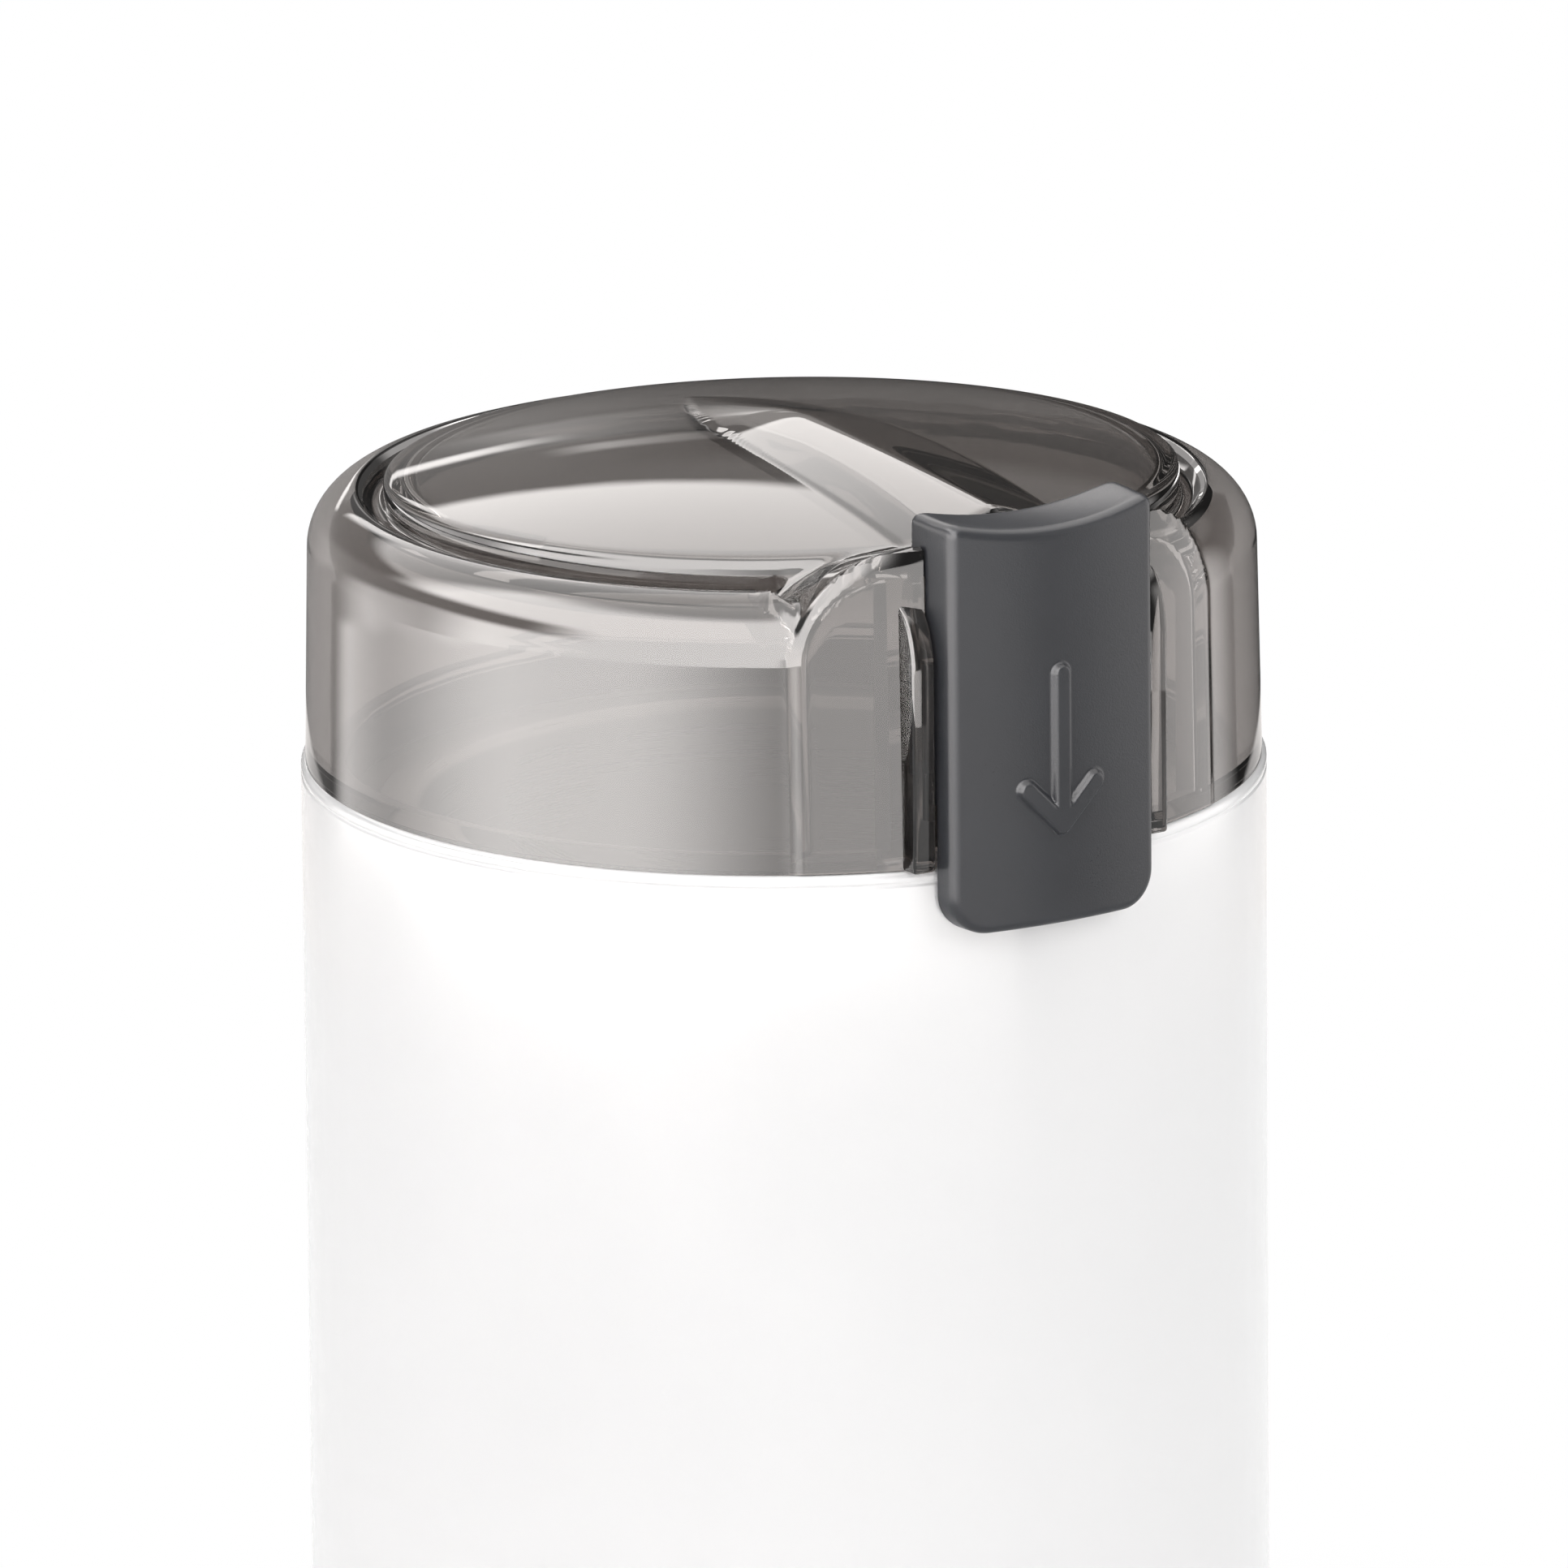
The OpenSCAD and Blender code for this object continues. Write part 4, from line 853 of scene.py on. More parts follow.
@dataclass
class Lid:
    """Smoked lid: wall, rounded shoulder, groove, shallow dome, keel and button arch."""

    rim: Rim
    inset: float = 0.4
    draft: float = 0.4
    wall: float = 2.2
    height: float = 25.2
    shoulder: float = 5.5
    crest_in: float = 4.4
    groove_w: float = 2.6
    groove_depth: float = 1.3
    dome_top: float = 31.0
    dome_curve: float = 154.0
    dome_shift: float = 3.2
    keel_rise: float = 1.5
    keel_fall: float = 2.2
    keel_half: float = 8.7
    keel_peak: float = 2.0
    keel_tail: float = 17.6
    keel_taper: float = 12.0
    keel_round: float = 0.9
    arch_half: float = 22.2
    arch_round: float = 9.0
    arch_top: float = 30.3
    arch_slope: float = 0.3
    arch_proud: float = 0.15
    arch_back: float = 12.0
    arch_fillet: float = 2.6
    arch_deep: float = 4.0
    channel_back: float = 38.4
    channel_half: float = 11.2
    rail_w: float = 2.3
    spigot_r: float = 41.45
    spigot_wall: float = 1.5
    spigot_h: float = 4.0
    dip_share: float = 0.55
    eye_z: float = -20.0
    block_h: float = 28.2
    pocket_in: float = 9.4
    pocket_deep: float = 0.55
    pocket_front: float = 42.8
    pocket_back: float = 41.2
    pocket_low: float = 4.7
    pocket_high: float = 19.3
    body: str = "lid"

    @property
    def foot_r(self) -> float:
        """Radius of the lid's foot."""
        return self.rim.body_r - self.inset

    @property
    def side_h(self) -> float:
        """Height at which the wall turns into the shoulder."""
        return self.height - self.shoulder

    @property
    def crest_r(self) -> float:
        """Radius at which the shoulder falls into the groove."""
        return self.foot_r - self.draft - self.crest_in

    @property
    def dome_r(self) -> float:
        """Radius of the dome's edge."""
        return self.crest_r - self.groove_w

    def dome(self, x: Array, front: Array) -> Array:
        """Height of the dome: a sphere whose middle is moved towards the button."""
        flat = np.clip(self.dome_curve**2 - x**2 - (front - self.dome_shift) ** 2, 0.0, None)
        return self.dome_top - self.dome_curve + np.sqrt(flat)

    def roof(self, x: Array, front: Array) -> Array:
        """Height of the dome and its keel.

        The keel's ridge rises in a straight line from the dome to its peak, then falls by a
        power of 1.5 of the way to the button. Its half width grows as one minus an exponential
        from the tail's tip, and each flank is a straight line from the ridge to the dome there,
        beyond which it drops away inside the dome.

        Args:
            x: Distance across.
            front: Distance towards the button.

        Returns:
            The height above the rim.
        """
        peak = self.dome_top + self.keel_rise
        tip = self.keel_peak - self.keel_tail
        foot = self.dome(np.zeros_like(front), np.full_like(front, tip))
        tail = peak - (peak - foot) * (self.keel_peak - front) / self.keel_tail
        way = np.clip((front - self.keel_peak) / (self.channel_back - self.keel_peak), 0.0, None)
        ridge = smooth_min(tail, peak - self.keel_fall * way**1.5, 0.5)
        half = self.keel_half * (1.0 - np.exp(np.minimum(tip - front, 0.0) / self.keel_taper))
        half = np.maximum(half, 0.3)
        dome = self.dome(x, front)
        eave = self.dome(half, front)
        flank = ridge - (ridge - eave) * (np.hypot(x, self.keel_round) - self.keel_round) / half
        flank = flank - np.maximum(np.abs(x) - half, 0.0)
        return smooth_max(dome, np.where(front > tip, flank, dome - 1.0), 0.25)

    def dip(self, r: Array) -> Array:
        """Depth of the groove and of all that lies inside it, at a radius."""
        return self.groove_depth * smooth_step((self.crest_r - r) / (self.dip_share * self.groove_w))

    def solid(self, spot: Array, inset: float = 0.0) -> Array:
        """Field of the lid's outer form, negative inside.

        The shoulder is a rounded corner between the drafted wall and the crest. The groove and
        the dome are heights. The arch is a rounded corner too, under a roof that sinks
        backwards, cut by an outer cone, and the wall behind its face is sunk. Smooth minima
        join them, with a fillet that grows above the wall and away from the face.

        Args:
            spot: Points, shape (..., 3), with heights above the rim.
            inset: Thickness by which every face lies further in.

        Returns:
            The field's values.
        """
        x, front, z = spot[..., 0], -spot[..., 1], spot[..., 2]
        r = np.hypot(x, front)
        wall = self.foot_r - self.draft * np.clip(z / self.side_h, 0.0, 1.0)
        turn = cornered(r - (wall - self.shoulder), z - self.side_h, self.shoulder - inset)
        shell = smooth_max(turn, z - (self.height - self.dip(r) - inset), 0.4)
        top = self.roof(x, front) if inset == 0.0 else self.dome(x, front) - inset
        dome = smooth_max(z - top, r - (self.dome_r - inset), 0.8)
        roof = self.arch_top - self.arch_slope * (self.foot_r - front)
        out, up = np.abs(x) - (self.arch_half - self.arch_round), z - (roof - self.arch_round)
        face = self.foot_r + self.arch_proud - self.draft * z / self.side_h
        arch = smooth_max(cornered(out, up, self.arch_round - inset), r - (face - inset), 0.7)
        arch = np.maximum(arch, self.arch_back - inset - front)
        fillet = smooth_step((z - self.side_h + 1.0) / 4.0) * smooth_step((face - inset - r) / 3.0)
        fillet = 0.3 + self.arch_fillet * fillet
        behind = smooth_step((self.arch_half - 0.6 - np.abs(x)) / 2.5) * (front > 0.0)
        shell = shell + self.arch_deep * behind
        return smooth_min(smooth_min(shell, arch, fillet), dome, 0.5)

    def rows(self, inset: float, step: float) -> Array:
        """Targets of the rays, along the turned profile from the foot to the axis.

        Args:
            inset: Thickness by which the profile lies further in.
            step: Factor on the spacing of the targets.

        Returns:
            The targets as (r, z), shape (n, 2).
        """
        crest, r, radius = self.height, self.crest_r, self.shoulder - inset
        middle = self.foot_r - self.draft - self.shoulder
        turn = span(0.0, math.acos(min((r - middle) / radius, 1.0)), 0.1 * step)
        wall = span(1.5 if inset else 0.0, self.side_h - 0.3, 1.0 * step)
        groove = span(r - 0.15, self.dome_r - inset, 0.22 * step)
        base = crest - self.groove_depth - inset
        dome = span(self.dome_r - inset - 0.3, 0.6, 0.5 * step)
        return np.concatenate(
            [
                stacked(self.foot_r - inset, wall),
                stacked(middle + radius * np.cos(turn), self.side_h + radius * np.sin(turn)),
                stacked(groove, crest - self.dip(groove) - inset),
                stacked(self.dome_r - inset, span(base + 0.25, base + 3.0, 0.3 * step)),
                stacked(dome, base + 3.2 + 3.4 * (1.0 - (dome / self.dome_r) ** 2)),
                [[0.0, self.dome_top]],
            ]
        )

    @property
    def angles(self) -> Array:
        """Angles of the columns, closest together around the button."""
        near, far = span(-0.72, 0.72, 0.0075), span(0.72, TURN - 0.72, 0.021)[1:-1]
        return -QUARTER + np.concatenate([near, far])

    def sheet(self, inset: float, step: float) -> Array:
        """One side of the lid's wall, from its foot to the axis."""
        targets = turned(self.rows(inset, step), self.angles)
        return cast(lambda spot: self.solid(spot, inset), (0.0, 0.0, self.eye_z), targets, 90.0)

    def shell(self) -> Piece:
        """The lid's closed wall with its spigot, before the button's channel is cut."""
        outer, inner = self.sheet(0.0, 1.0), self.sheet(self.wall, 2.0)
        deep, low, ledge = self.spigot_r - self.spigot_wall, -self.spigot_h, self.foot_r - self.wall
        foot = [(ledge, 1.5, 0.0), (deep, 1.5, 0.3), (deep, low, 0.3)]
        foot += [(self.spigot_r, low, 0.4), (self.spigot_r, 0.0, 0.1), (self.foot_r, 0.0, 0.0)]
        skirt = turned(rounded(foot, 3)[1:-1], self.angles)
        wall = np.concatenate([inner[::-1], skirt, outer])
        return Draft().grid(wall).raised(self.rim.z).piece("smoked_lid")

    def rail(self, side: int) -> Piece:
        """One guide rail: a thin upright plate whose upper front corner is an ellipse."""
        back, front, top = self.channel_back - 1.6, self.rim.body_r - 0.4, self.height - 0.6
        turn = span(0.0, QUARTER, 0.16)
        curve = stacked(front - 3.4 * (1.0 - np.cos(turn)), top - 6.2 * (1.0 - np.sin(turn)))
        plan = np.concatenate([[[back, 0.0], [front, 0.0]], curve, [[back, top]]])
        ends = sorted((side * self.channel_half, side * (self.channel_half + self.rail_w)))
        turn_up = Matrix(((0, 0, 1, 0), (-1, 0, 0, 0), (0, 1, 0, self.rim.z), (0, 0, 0, 1)))
        return bevelled(flip(Draft().prism(plan, *ends).moved(turn_up).piece("rail")), 0.35)

    def make(self) -> Piece:
        """Makes the lid: wall, guide rails, channel, and pockets for the button's lugs."""
        lid, z = self.shell(), self.rim.z
        slot, half = self.channel_half, self.channel_half + self.rail_w
        face, back, far = -self.channel_back, 2.0 - self.channel_back, -self.rim.body_r - 6.0
        boxed(lid, Cut.JOINED, (-half, half), (face - 0.8, back), (z + 0.3, z + self.block_h), 0.3)
        boxed(lid, Cut.AWAY, (-slot, slot), (far, face), (z - 5.0, z + 40.0))
        for side in (-1, 1):
            combine(lid, self.rail(side), Cut.JOINED)
        boxed(lid, Cut.AWAY, (-half - 0.5, half + 0.5), (far, back), (z - 5.0, z))
        along, up = (-self.pocket_front, -self.pocket_back), (z + self.pocket_low, z + self.pocket_high)
        for side in (-1, 1):
            boxed(lid, Cut.AWAY, (side * self.pocket_in, side * (slot + self.pocket_deep)), along, up)
        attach(lid, self.body)
        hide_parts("lid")
        return lid


# ---- The button ----


@dataclass
class Button:
    """Sliding push button: curved face with a raised arrow, side walls, head and foot."""

    rim: Rim
    half: float = 10.6
    flare: float = 0.35
    top: float = 32.4
    drop: float = 5.8
    stand: float = 2.8
    plate: float = 2.3
    side: float = 1.6
    head_back: float = 38.9
    side_back: float = 41.5
    head_h: float = 5.6
    side_start: float = 6.0
    corner: float = 3.5
    dish: float = 1.5
    dish_r: float = 40.0
    arrow_tip: float = 2.5
    arrow_len: float = 16.0
    arrow_span: float = 4.6
    arrow_w: float = 2.0
    arrow_h: float = 0.6
    sharp: float = 62.0
    step: float = 0.4
    fine: float = 0.16
    beside: float = 0.6
    foot_half: float = 5.0
    rib_half: float = 0.9
    rib_top: float = 29.4
    lug_low: float = 9.0
    lug_high: float = 19.0
    body: str = "button"

    @property
    def face_r(self) -> float:
        """Radius of the button's face."""
        return self.rim.body_r + self.stand

    @property
    def plate_r(self) -> float:
        """Radius of the back of the button's plate."""
        return self.face_r - self.plate

    def arrow(self, x: Array, z: Array) -> Array:
        """Arrow relief: 1 on its three round-ended strokes and 0 off them.

        The distance to a stroke is the distance to the nearest point of its middle line.

        Args:
            x: Distance across the face.
            z: Height above the rim.

        Returns:
            The relief, which rises over 0.5 mm at a stroke's edge.
        """
        reach = self.arrow_w / 2.0
        tip = np.array([0.0, self.arrow_tip + reach])
        wing = self.arrow_span - reach
        tail = self.arrow_tip + self.arrow_len - reach
        ends = [(0.0, tail), (-wing, tip[1] + wing), (wing, tip[1] + wing)]
        nearest = np.full(np.shape(x), 99.0)
        for end in ends:
            run = np.array(end) - tip
            t = np.clip(((x - tip[0]) * run[0] + (z - tip[1]) * run[1]) / (run @ run), 0.0, 1.0)
            away = np.hypot(x - tip[0] - t * run[0], z - tip[1] - t * run[1])
            nearest = np.minimum(nearest, away)
        return smooth_step((reach + 0.1 - nearest) / 0.5)

    def solid(self, spot: Array) -> Array:
        """Field of the button's outer form, negative inside.

        It is the rounded maximum of the side planes with round lower corners, the flat back,
        the top plane, the finger dish's sphere, and the face's cylinder, which the arrow
        raises.

        Args:
            spot: Points, shape (..., 3), with heights above the rim.

        Returns:
            The field's values.
        """
        x, front, z = spot[..., 0], -spot[..., 1], spot[..., 2]
        spread = self.flare * np.clip((self.face_r - front) / 5.0, 0.0, 1.0)
        out = np.abs(x) - (self.half + spread - self.corner)
        sides = cornered(out, (self.corner - self.drop) - z, self.corner)
        middle = (self.face_r + self.head_back) / 2.0
        rise = z - (self.top + self.dish_r - self.dish)
        dish = self.dish_r - np.sqrt(x**2 + (front - middle) ** 2 + rise**2)
        face = np.hypot(x, front) - self.face_r - self.arrow_h * self.arrow(x, z)
        solid = smooth_max(sides, self.head_back - front, 0.8)
        solid = smooth_max(solid, face, 0.8)
        return smooth_max(solid, smooth_max(z - self.top, dish, 0.5), 1.2)

    def skin(self) -> Piece:
        """The button's outer form, cast from its middle plane to the six sides of a box."""
        front, wide = self.face_r + 0.4, self.arrow_span + self.beside
        low, high = self.arrow_tip - self.beside, self.arrow_tip + self.arrow_len + self.beside
        xs = finer(edged_span(-self.half, self.half, self.step, 1.6, self.fine), -wide, wide)
        ys = edged_span(-front, -self.head_back, 0.5, 1.6, self.fine)
        zs = finer(edged_span(-self.drop, self.top, self.step, 1.8, self.fine), low, high)
        middle = np.array([0.0, -(front + self.head_back) / 2.0, (self.top - self.drop) / 2.0])
        draft = Draft()
        walls = [(0, xs[0], True, ys, zs), (0, xs[-1], False, ys, zs), (1, ys[0], False, xs, zs)]
        walls += [(1, ys[-1], True, xs, zs), (2, zs[0], True, xs, ys), (2, zs[-1], False, xs, ys)]
        for axis, level, turn, first, second in walls:
            parts = list(np.meshgrid(first, second))
            parts.insert(axis, level)
            spots = stacked(*parts)
            if turn:
                spots = spots[:, ::-1]
            starts = middle + (spots - middle) * (0.8, 0.0, 0.8)
            draft.grid(cast(self.solid, starts, spots, 40.0), wrap_cols=False)
        return draft.raised(self.rim.z).piece("push_button_skin")

    def inside(self) -> Piece:
        """Space behind the face and between the side walls."""
        reach = self.plate_r
        half, back = self.half - self.side, self.head_back + 2.0
        angles = span(-math.asin(half / reach), math.asin(half / reach), 0.02)
        curve = stacked(reach * np.sin(angles), -reach * np.cos(angles))
        plan = np.concatenate([curve, [[half, -back], [-half, -back]]])
        top = self.rim.z + self.top - 2.8
        return Draft().prism(plan, self.rim.z - self.drop - 2.0, top).piece("tool")

    def behind(self) -> Piece:
        """Space behind the lower plate, a full disc under the side walls."""
        low = self.rim.z - self.drop - 2.0
        high = self.rim.z + self.side_start
        return Draft().prism(disc(self.plate_r, 360), low, high).piece("tool")

    def make(self) -> Piece:
        """Makes the button with its hollow back, foot, rib and lugs."""
        button, z, sharp = self.skin(), self.rim.z, self.sharp
        head, back, side_back = z + self.top - self.head_h, -self.head_back, -self.side_back
        foot, rib = (-self.foot_half, self.foot_half), (-self.rib_half, self.rib_half)
        combine(button, self.behind(), Cut.AWAY, sharp)
        boxed(button, Cut.AWAY, (-30.0, 30.0), (side_back, 0.0), (z - 9.0, head), 0.0, sharp)
        combine(button, self.inside(), Cut.AWAY, sharp)
        boxed(button, Cut.JOINED, foot, (back - 2.0, back), (z - 3.0, head + 1.0), 0.4, sharp)
        along, up = (-self.plate_r - 0.5, back - 1.9), (z + self.side_start + 2.0, z + self.rib_top)
        boxed(button, Cut.JOINED, rib, along, up, 0.0, sharp)
        along, up = (side_back - 1.0, side_back), (z + self.lug_low, z + self.lug_high)
        for side in (-1, 1):
            lug = (side * (self.half - 0.7), side * (self.half + 1.2))
            boxed(button, Cut.JOINED, lug, along, up, 0.2, sharp)
        button.name = "dark_push_button"
        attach(button, self.body)
        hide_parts("push_button")
        return button


# ---- The body ----


@dataclass
class Shell:
    """White body shell with its rim, foot edge, inner ledges and the feet under it."""

    rim: Rim
    wall: float = 2.2
    lift: float = 2.0
    rim_round: float = 0.6
    foot_round: float = 1.8
    ledge: float = 2.2
    deck: float = 7.5
    line_drop: float = 1.1
    line_deep: float = 0.09
    base_top: float = 5.0
    pad_pos: float = 34.0
    pad_r: float = 6.0
    gland_z: float = 14.0
    gland_r: float = 3.6
    segments: int = 288
    slot_half: float = 4.6
    slot_back: float = 36.9
    body: str = "base"

    def entry(self, draft: Draft) -> Draft:
        """Turns a draft that stands on the axis towards the lead's entry at the back."""
        return draft.moved(Matrix.Rotation(-QUARTER, 4, "X")).raised(self.gland_z)

    def housing(self) -> Piece:
        """The shell: a turned wall whose rim has a rounded lip over a hairline."""
        out, top, base = self.rim.body_r, self.rim.z, self.base_top
        inner, line, deck = out - self.wall, top - self.line_drop, top - self.deck
        ledge, base_in, cut = inner - self.ledge, inner - 1.8, out - self.line_deep
        outline = [(out, self.lift, self.foot_round), (out, line - 0.35, 0.05)]
        outline += [(cut, line - 0.15, 0.05), (cut, line, 0.05), (out, line + 0.15, 0.05)]
        outline += [(out, top, self.rim_round), (inner, top, 0.25), (inner, deck, 0.2)]
        outline += [(ledge, deck, 0.2), (ledge, deck - 2.5, 0.2)]
        outline += [(inner, deck - 2.5 - self.ledge, 0.4), (inner, base + 2.0, 0.2)]
        outline += [(base_in, base + 2.0, 0.2), (base_in, base, 0.2)]
        outline += [(inner, base, 0.2), (inner, self.lift, 0.3)]
        shell = Draft().grid(lathed(outline, 6, self.segments), wrap_rows=True).piece("white_shell")
        slot = (-self.slot_half, self.slot_half)
        boxed(shell, Cut.AWAY, slot, (-inner + 0.01, -self.slot_back), (deck - 7.0, deck + 1.0))
        bore = self.entry(Draft().prism(disc(self.gland_r + 1.45, 48), inner - 3.0, out + 6.0))
        combine(shell, bore.piece("tool"), Cut.AWAY)
        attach(shell, self.body)
        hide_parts("housing")
        return shell

    def feet(self) -> Piece:
        """Four rubber pads, each turned: a soft-edged pad, a stem and a retaining head."""
        pad, top = self.pad_r, self.base_top
        outline = [(0.0, 0.0, 0.0), (pad - 1.6, 0.0, 0.0), (pad - 1.4, 0.25, 0.1)]
        outline += [(pad, 0.25, 0.5), (pad, 2.0, 0.4), (2.0, 2.0, 0.1), (2.0, top, 0.1)]
        outline += [(3.0, top, 0.3), (2.6, top + 1.4, 0.4), (0.0, top + 1.4, 0.0)]
        pads = Draft()
        for x, y in disc(self.pad_pos, 4):
            pads.grid(lathed(outline, 5, 48) + (x, y, 0.0))
        made = pads.piece("foot_pads")
        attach(made, self.body)
        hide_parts("rubber_feet")
        return made

    def gland(self) -> Piece:
        """Rubber lead entry: a turned sleeve with two flanges and a ribbed mouth."""
        inner, out, bore = self.rim.body_r - self.wall, self.rim.body_r, self.gland_r
        neck, flange = bore + 1.4, bore + 1.4 + 1.8
        outline = [(bore, inner - 2.8, 0.3), (bore, out + 3.4, 0.5), (flange - 1.4, out + 3.4, 0.5)]
        outline += [(flange - 1.1, out + 2.6, 0.2), (flange - 0.6, out + 2.5, 0.2)]
        outline += [(flange - 0.3, out + 1.7, 0.2), (flange, out + 1.5, 0.3)]
        outline += [(flange, out + 0.1, 0.3), (neck, out + 0.1, 0.1), (neck, inner - 0.8, 0.1)]
        outline += [(flange, inner - 0.8, 0.3), (flange, inner - 2.8, 0.4)]
        sleeve = Draft().grid(lathed(outline[::-1], 4, 72), wrap_rows=True)
        made = self.entry(sleeve).piece("lead_entry_gland")
        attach(made, self.body)
        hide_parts("lead_gland")
        return made


# ---- Bowl and blade ----


@dataclass
class Bowl:
    """Steel bowl with its rolled flange, and the blade with its nut."""

    floor_z: float = 91.5
    inner_r: float = 33.0
    sheet: float = 0.8
    corner: float = 8.0
    flange_z: float = 128.1
    flange_w: float = 3.4
    hole_r: float = 7.0
    blade_z: float = 96.9
    blade_r: float = 29.5
    blade_half: float = 5.5
    blade_t: float = 1.5
    tilt: float = 16.0
    hub_r: float = 7.5
    bend_r: float = 6.4
    nut_z: float = 98.4
    nut_h: float = 5.0
    nut_r: float = 5.2

    def bowl(self) -> Piece:
        """The bowl: one turned sheet with a soft floor corner and a rolled flange."""
        out, top = self.inner_r + self.sheet, self.flange_z + self.sheet
        edge, under = out + self.flange_w, self.floor_z - self.sheet
        outline = [(self.hole_r, under, 0.1), (out, under, self.corner + self.sheet)]
        outline += [(out, self.flange_z, 0.5), (edge, self.flange_z, 0.38), (edge, top, 0.38)]
        outline += [(self.inner_r, top, 1.1), (self.inner_r, self.floor_z, self.corner)]
        outline += [(self.hole_r, self.floor_z, 0.1)]
        made = Draft().grid(lathed(outline, 12, 256), wrap_rows=True).piece("spun_bowl")
        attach(made, "base")
        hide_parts("grinding_bowl")
        return made

    def blade(self) -> Piece:
        """The blade: a flat strip around its hub, with one wing up, one down and ground edges.

        Along the strip the half width is that of the hub's circle, the wing or the tip's
        circle, and each wing's height is its tilt's tangent times the way past the bend,
        rounded there. Across it the top falls to a thin edge over the outer third.

        Returns:
            The blade's piece.
        """
        along = np.concatenate([span(-self.blade_r, -24.0, 0.3), span(-23.7, 23.7, 0.6)])
        along = np.concatenate([along, span(24.0, self.blade_r, 0.3)])
        along[0], along[-1] = -self.blade_r + 0.02, self.blade_r - 0.02
        hub = np.sqrt(np.clip(self.hub_r**2 - along**2, 0.0, None))
        tip = np.sqrt(np.clip(self.blade_r**2 - along**2, 0.0, None))
        wide = np.minimum(smooth_max(hub, np.full_like(along, self.blade_half), 0.8), tip)
        past = smooth_max(np.abs(along) - self.bend_r, np.zeros_like(along), 1.5)
        rise = math.tan(math.radians(self.tilt))
        dip = -math.tan(math.radians(self.tilt / 6.0))
        height = self.blade_z + past * np.where(along > 0.0, rise, dip)
        across = np.concatenate([span(-1.0, 1.0, 0.08), span(1.0, -1.0, 0.08)])
        upper = np.arange(len(across)) >= len(across) // 2
        ground = np.where(np.abs(along)[:, None] > self.hub_r + 1.0, 1.0, 0.0)
        edge = 1.0 - 0.82 * ground * smooth_step((np.abs(across)[None, :] - 0.62) / 0.38)
        thick = self.blade_t * edge
        top = height[:, None] + np.where(upper[None, :], thick, 0.0)
        surface = stacked(along[:, None], wide[:, None] * across[None, :], top)
        made = flip(Draft().grid(surface, capped=True).piece("chopping_blade", 25.0))
        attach(made, "rotor")
        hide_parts("blade")
        return made

    def nut(self) -> Piece:
        """The domed nut: six flats under a spherical crown, with a washer's round foot.

        The flats are the largest of six plane distances, the crown is the distance to a
        sphere, and the foot is a short cylinder joined by a smooth minimum.

        Returns:
            The nut's piece.
        """
        crown = 9.0

        def field_at(spot: Array) -> Array:
            """The nut's field, with heights above its foot."""
            x, y, z = spot[..., 0], spot[..., 1], spot[..., 2]
            r, turn = np.hypot(x, y), np.arctan2(y, x)
            sector = np.mod(turn + math.pi / 6.0, math.pi / 3.0) - math.pi / 6.0
            flats = r * np.cos(sector) - self.nut_r * 0.87
            ball = np.sqrt(r**2 + (z - self.nut_h + crown) ** 2) - crown
            hexagon = smooth_max(flats, ball, 0.5)
            washer = smooth_max(r - self.nut_r, z - 0.9, 0.3)
            return smooth_max(smooth_min(hexagon, washer, 0.2), -z, 0.1)

        lift = np.radians(np.concatenate([[-90.0], span(-85.0, 85.0, 3.0), [90.0]]))
        rays = turned(stacked(np.cos(lift), 2.0 + np.sin(lift)), around(180))
        skin = cast(field_at, (0.0, 0.0, 2.0), rays, 12.0)
        made = Draft().grid(skin).raised(self.nut_z).piece("domed_nut", 30.0)
        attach(made, "rotor")
        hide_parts("blade_nut")
        return made


@dataclass
class ReturnSpring:
    """Compression spring under the push rod, with closed ends."""

    front: float = 34.2
    low: float = 65.0
    high: float = 79.0
    mean_r: float = 2.45
    wire_r: float = 0.35
    turns: float = 6.0
    pressed: float = 10.0 / 14.0

    def make(self) -> Piece:
        """Makes the spring: a wire's circle carried along a helix whose end turns lie flat.

        Returns:
            The spring's piece.
        """
        t = np.linspace(0.0, 1.0, int(self.turns * 40) + 1)
        angle = TURN * self.turns * t
        lay = smooth_step((t - 0.09) / 0.82) * 0.35 + np.clip((t - 0.09) / 0.82, 0.0, 1.0) * 0.65
        rise = self.low + self.wire_r + (self.high - self.low - 2.0 * self.wire_r) * lay
        path = stacked(self.mean_r * np.cos(angle), self.mean_r * np.sin(angle), rise)
        ahead = np.gradient(path, axis=0)
        ahead /= np.linalg.norm(ahead, axis=1, keepdims=True)
        out = stacked(np.cos(angle), np.sin(angle), 0.0)
        up = np.cross(ahead, out)
        turn = around(10)[None, :, None]
        ring = np.cos(turn) * out[:, None] + np.sin(turn) * up[:, None]
        tube = path[:, None] + self.wire_r * ring + np.array([0.0, -self.front, 0.0])
        made = flip(Draft().grid(tube, capped=True).piece("coiled_return_spring", 60.0))
        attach(made, "base")
        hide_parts("return_spring")
        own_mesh(made)
        return made


# ---- Studio ----


@dataclass(frozen=True)
class Patch:
    """A soft-edged area of the reflected studio, in degrees around and above the lid.

    Azimuths count from the camera's direction, to the right. Both level edges sink away from
    the patch's middle by bend times the square of the angle to it, and lean by lean times
    that angle.
    """

    middle: float
    half: float
    soft: float
    low: float
    high: float
    edge: float
    level: float
    bend: float = 0.0
    lean: float = 0.0


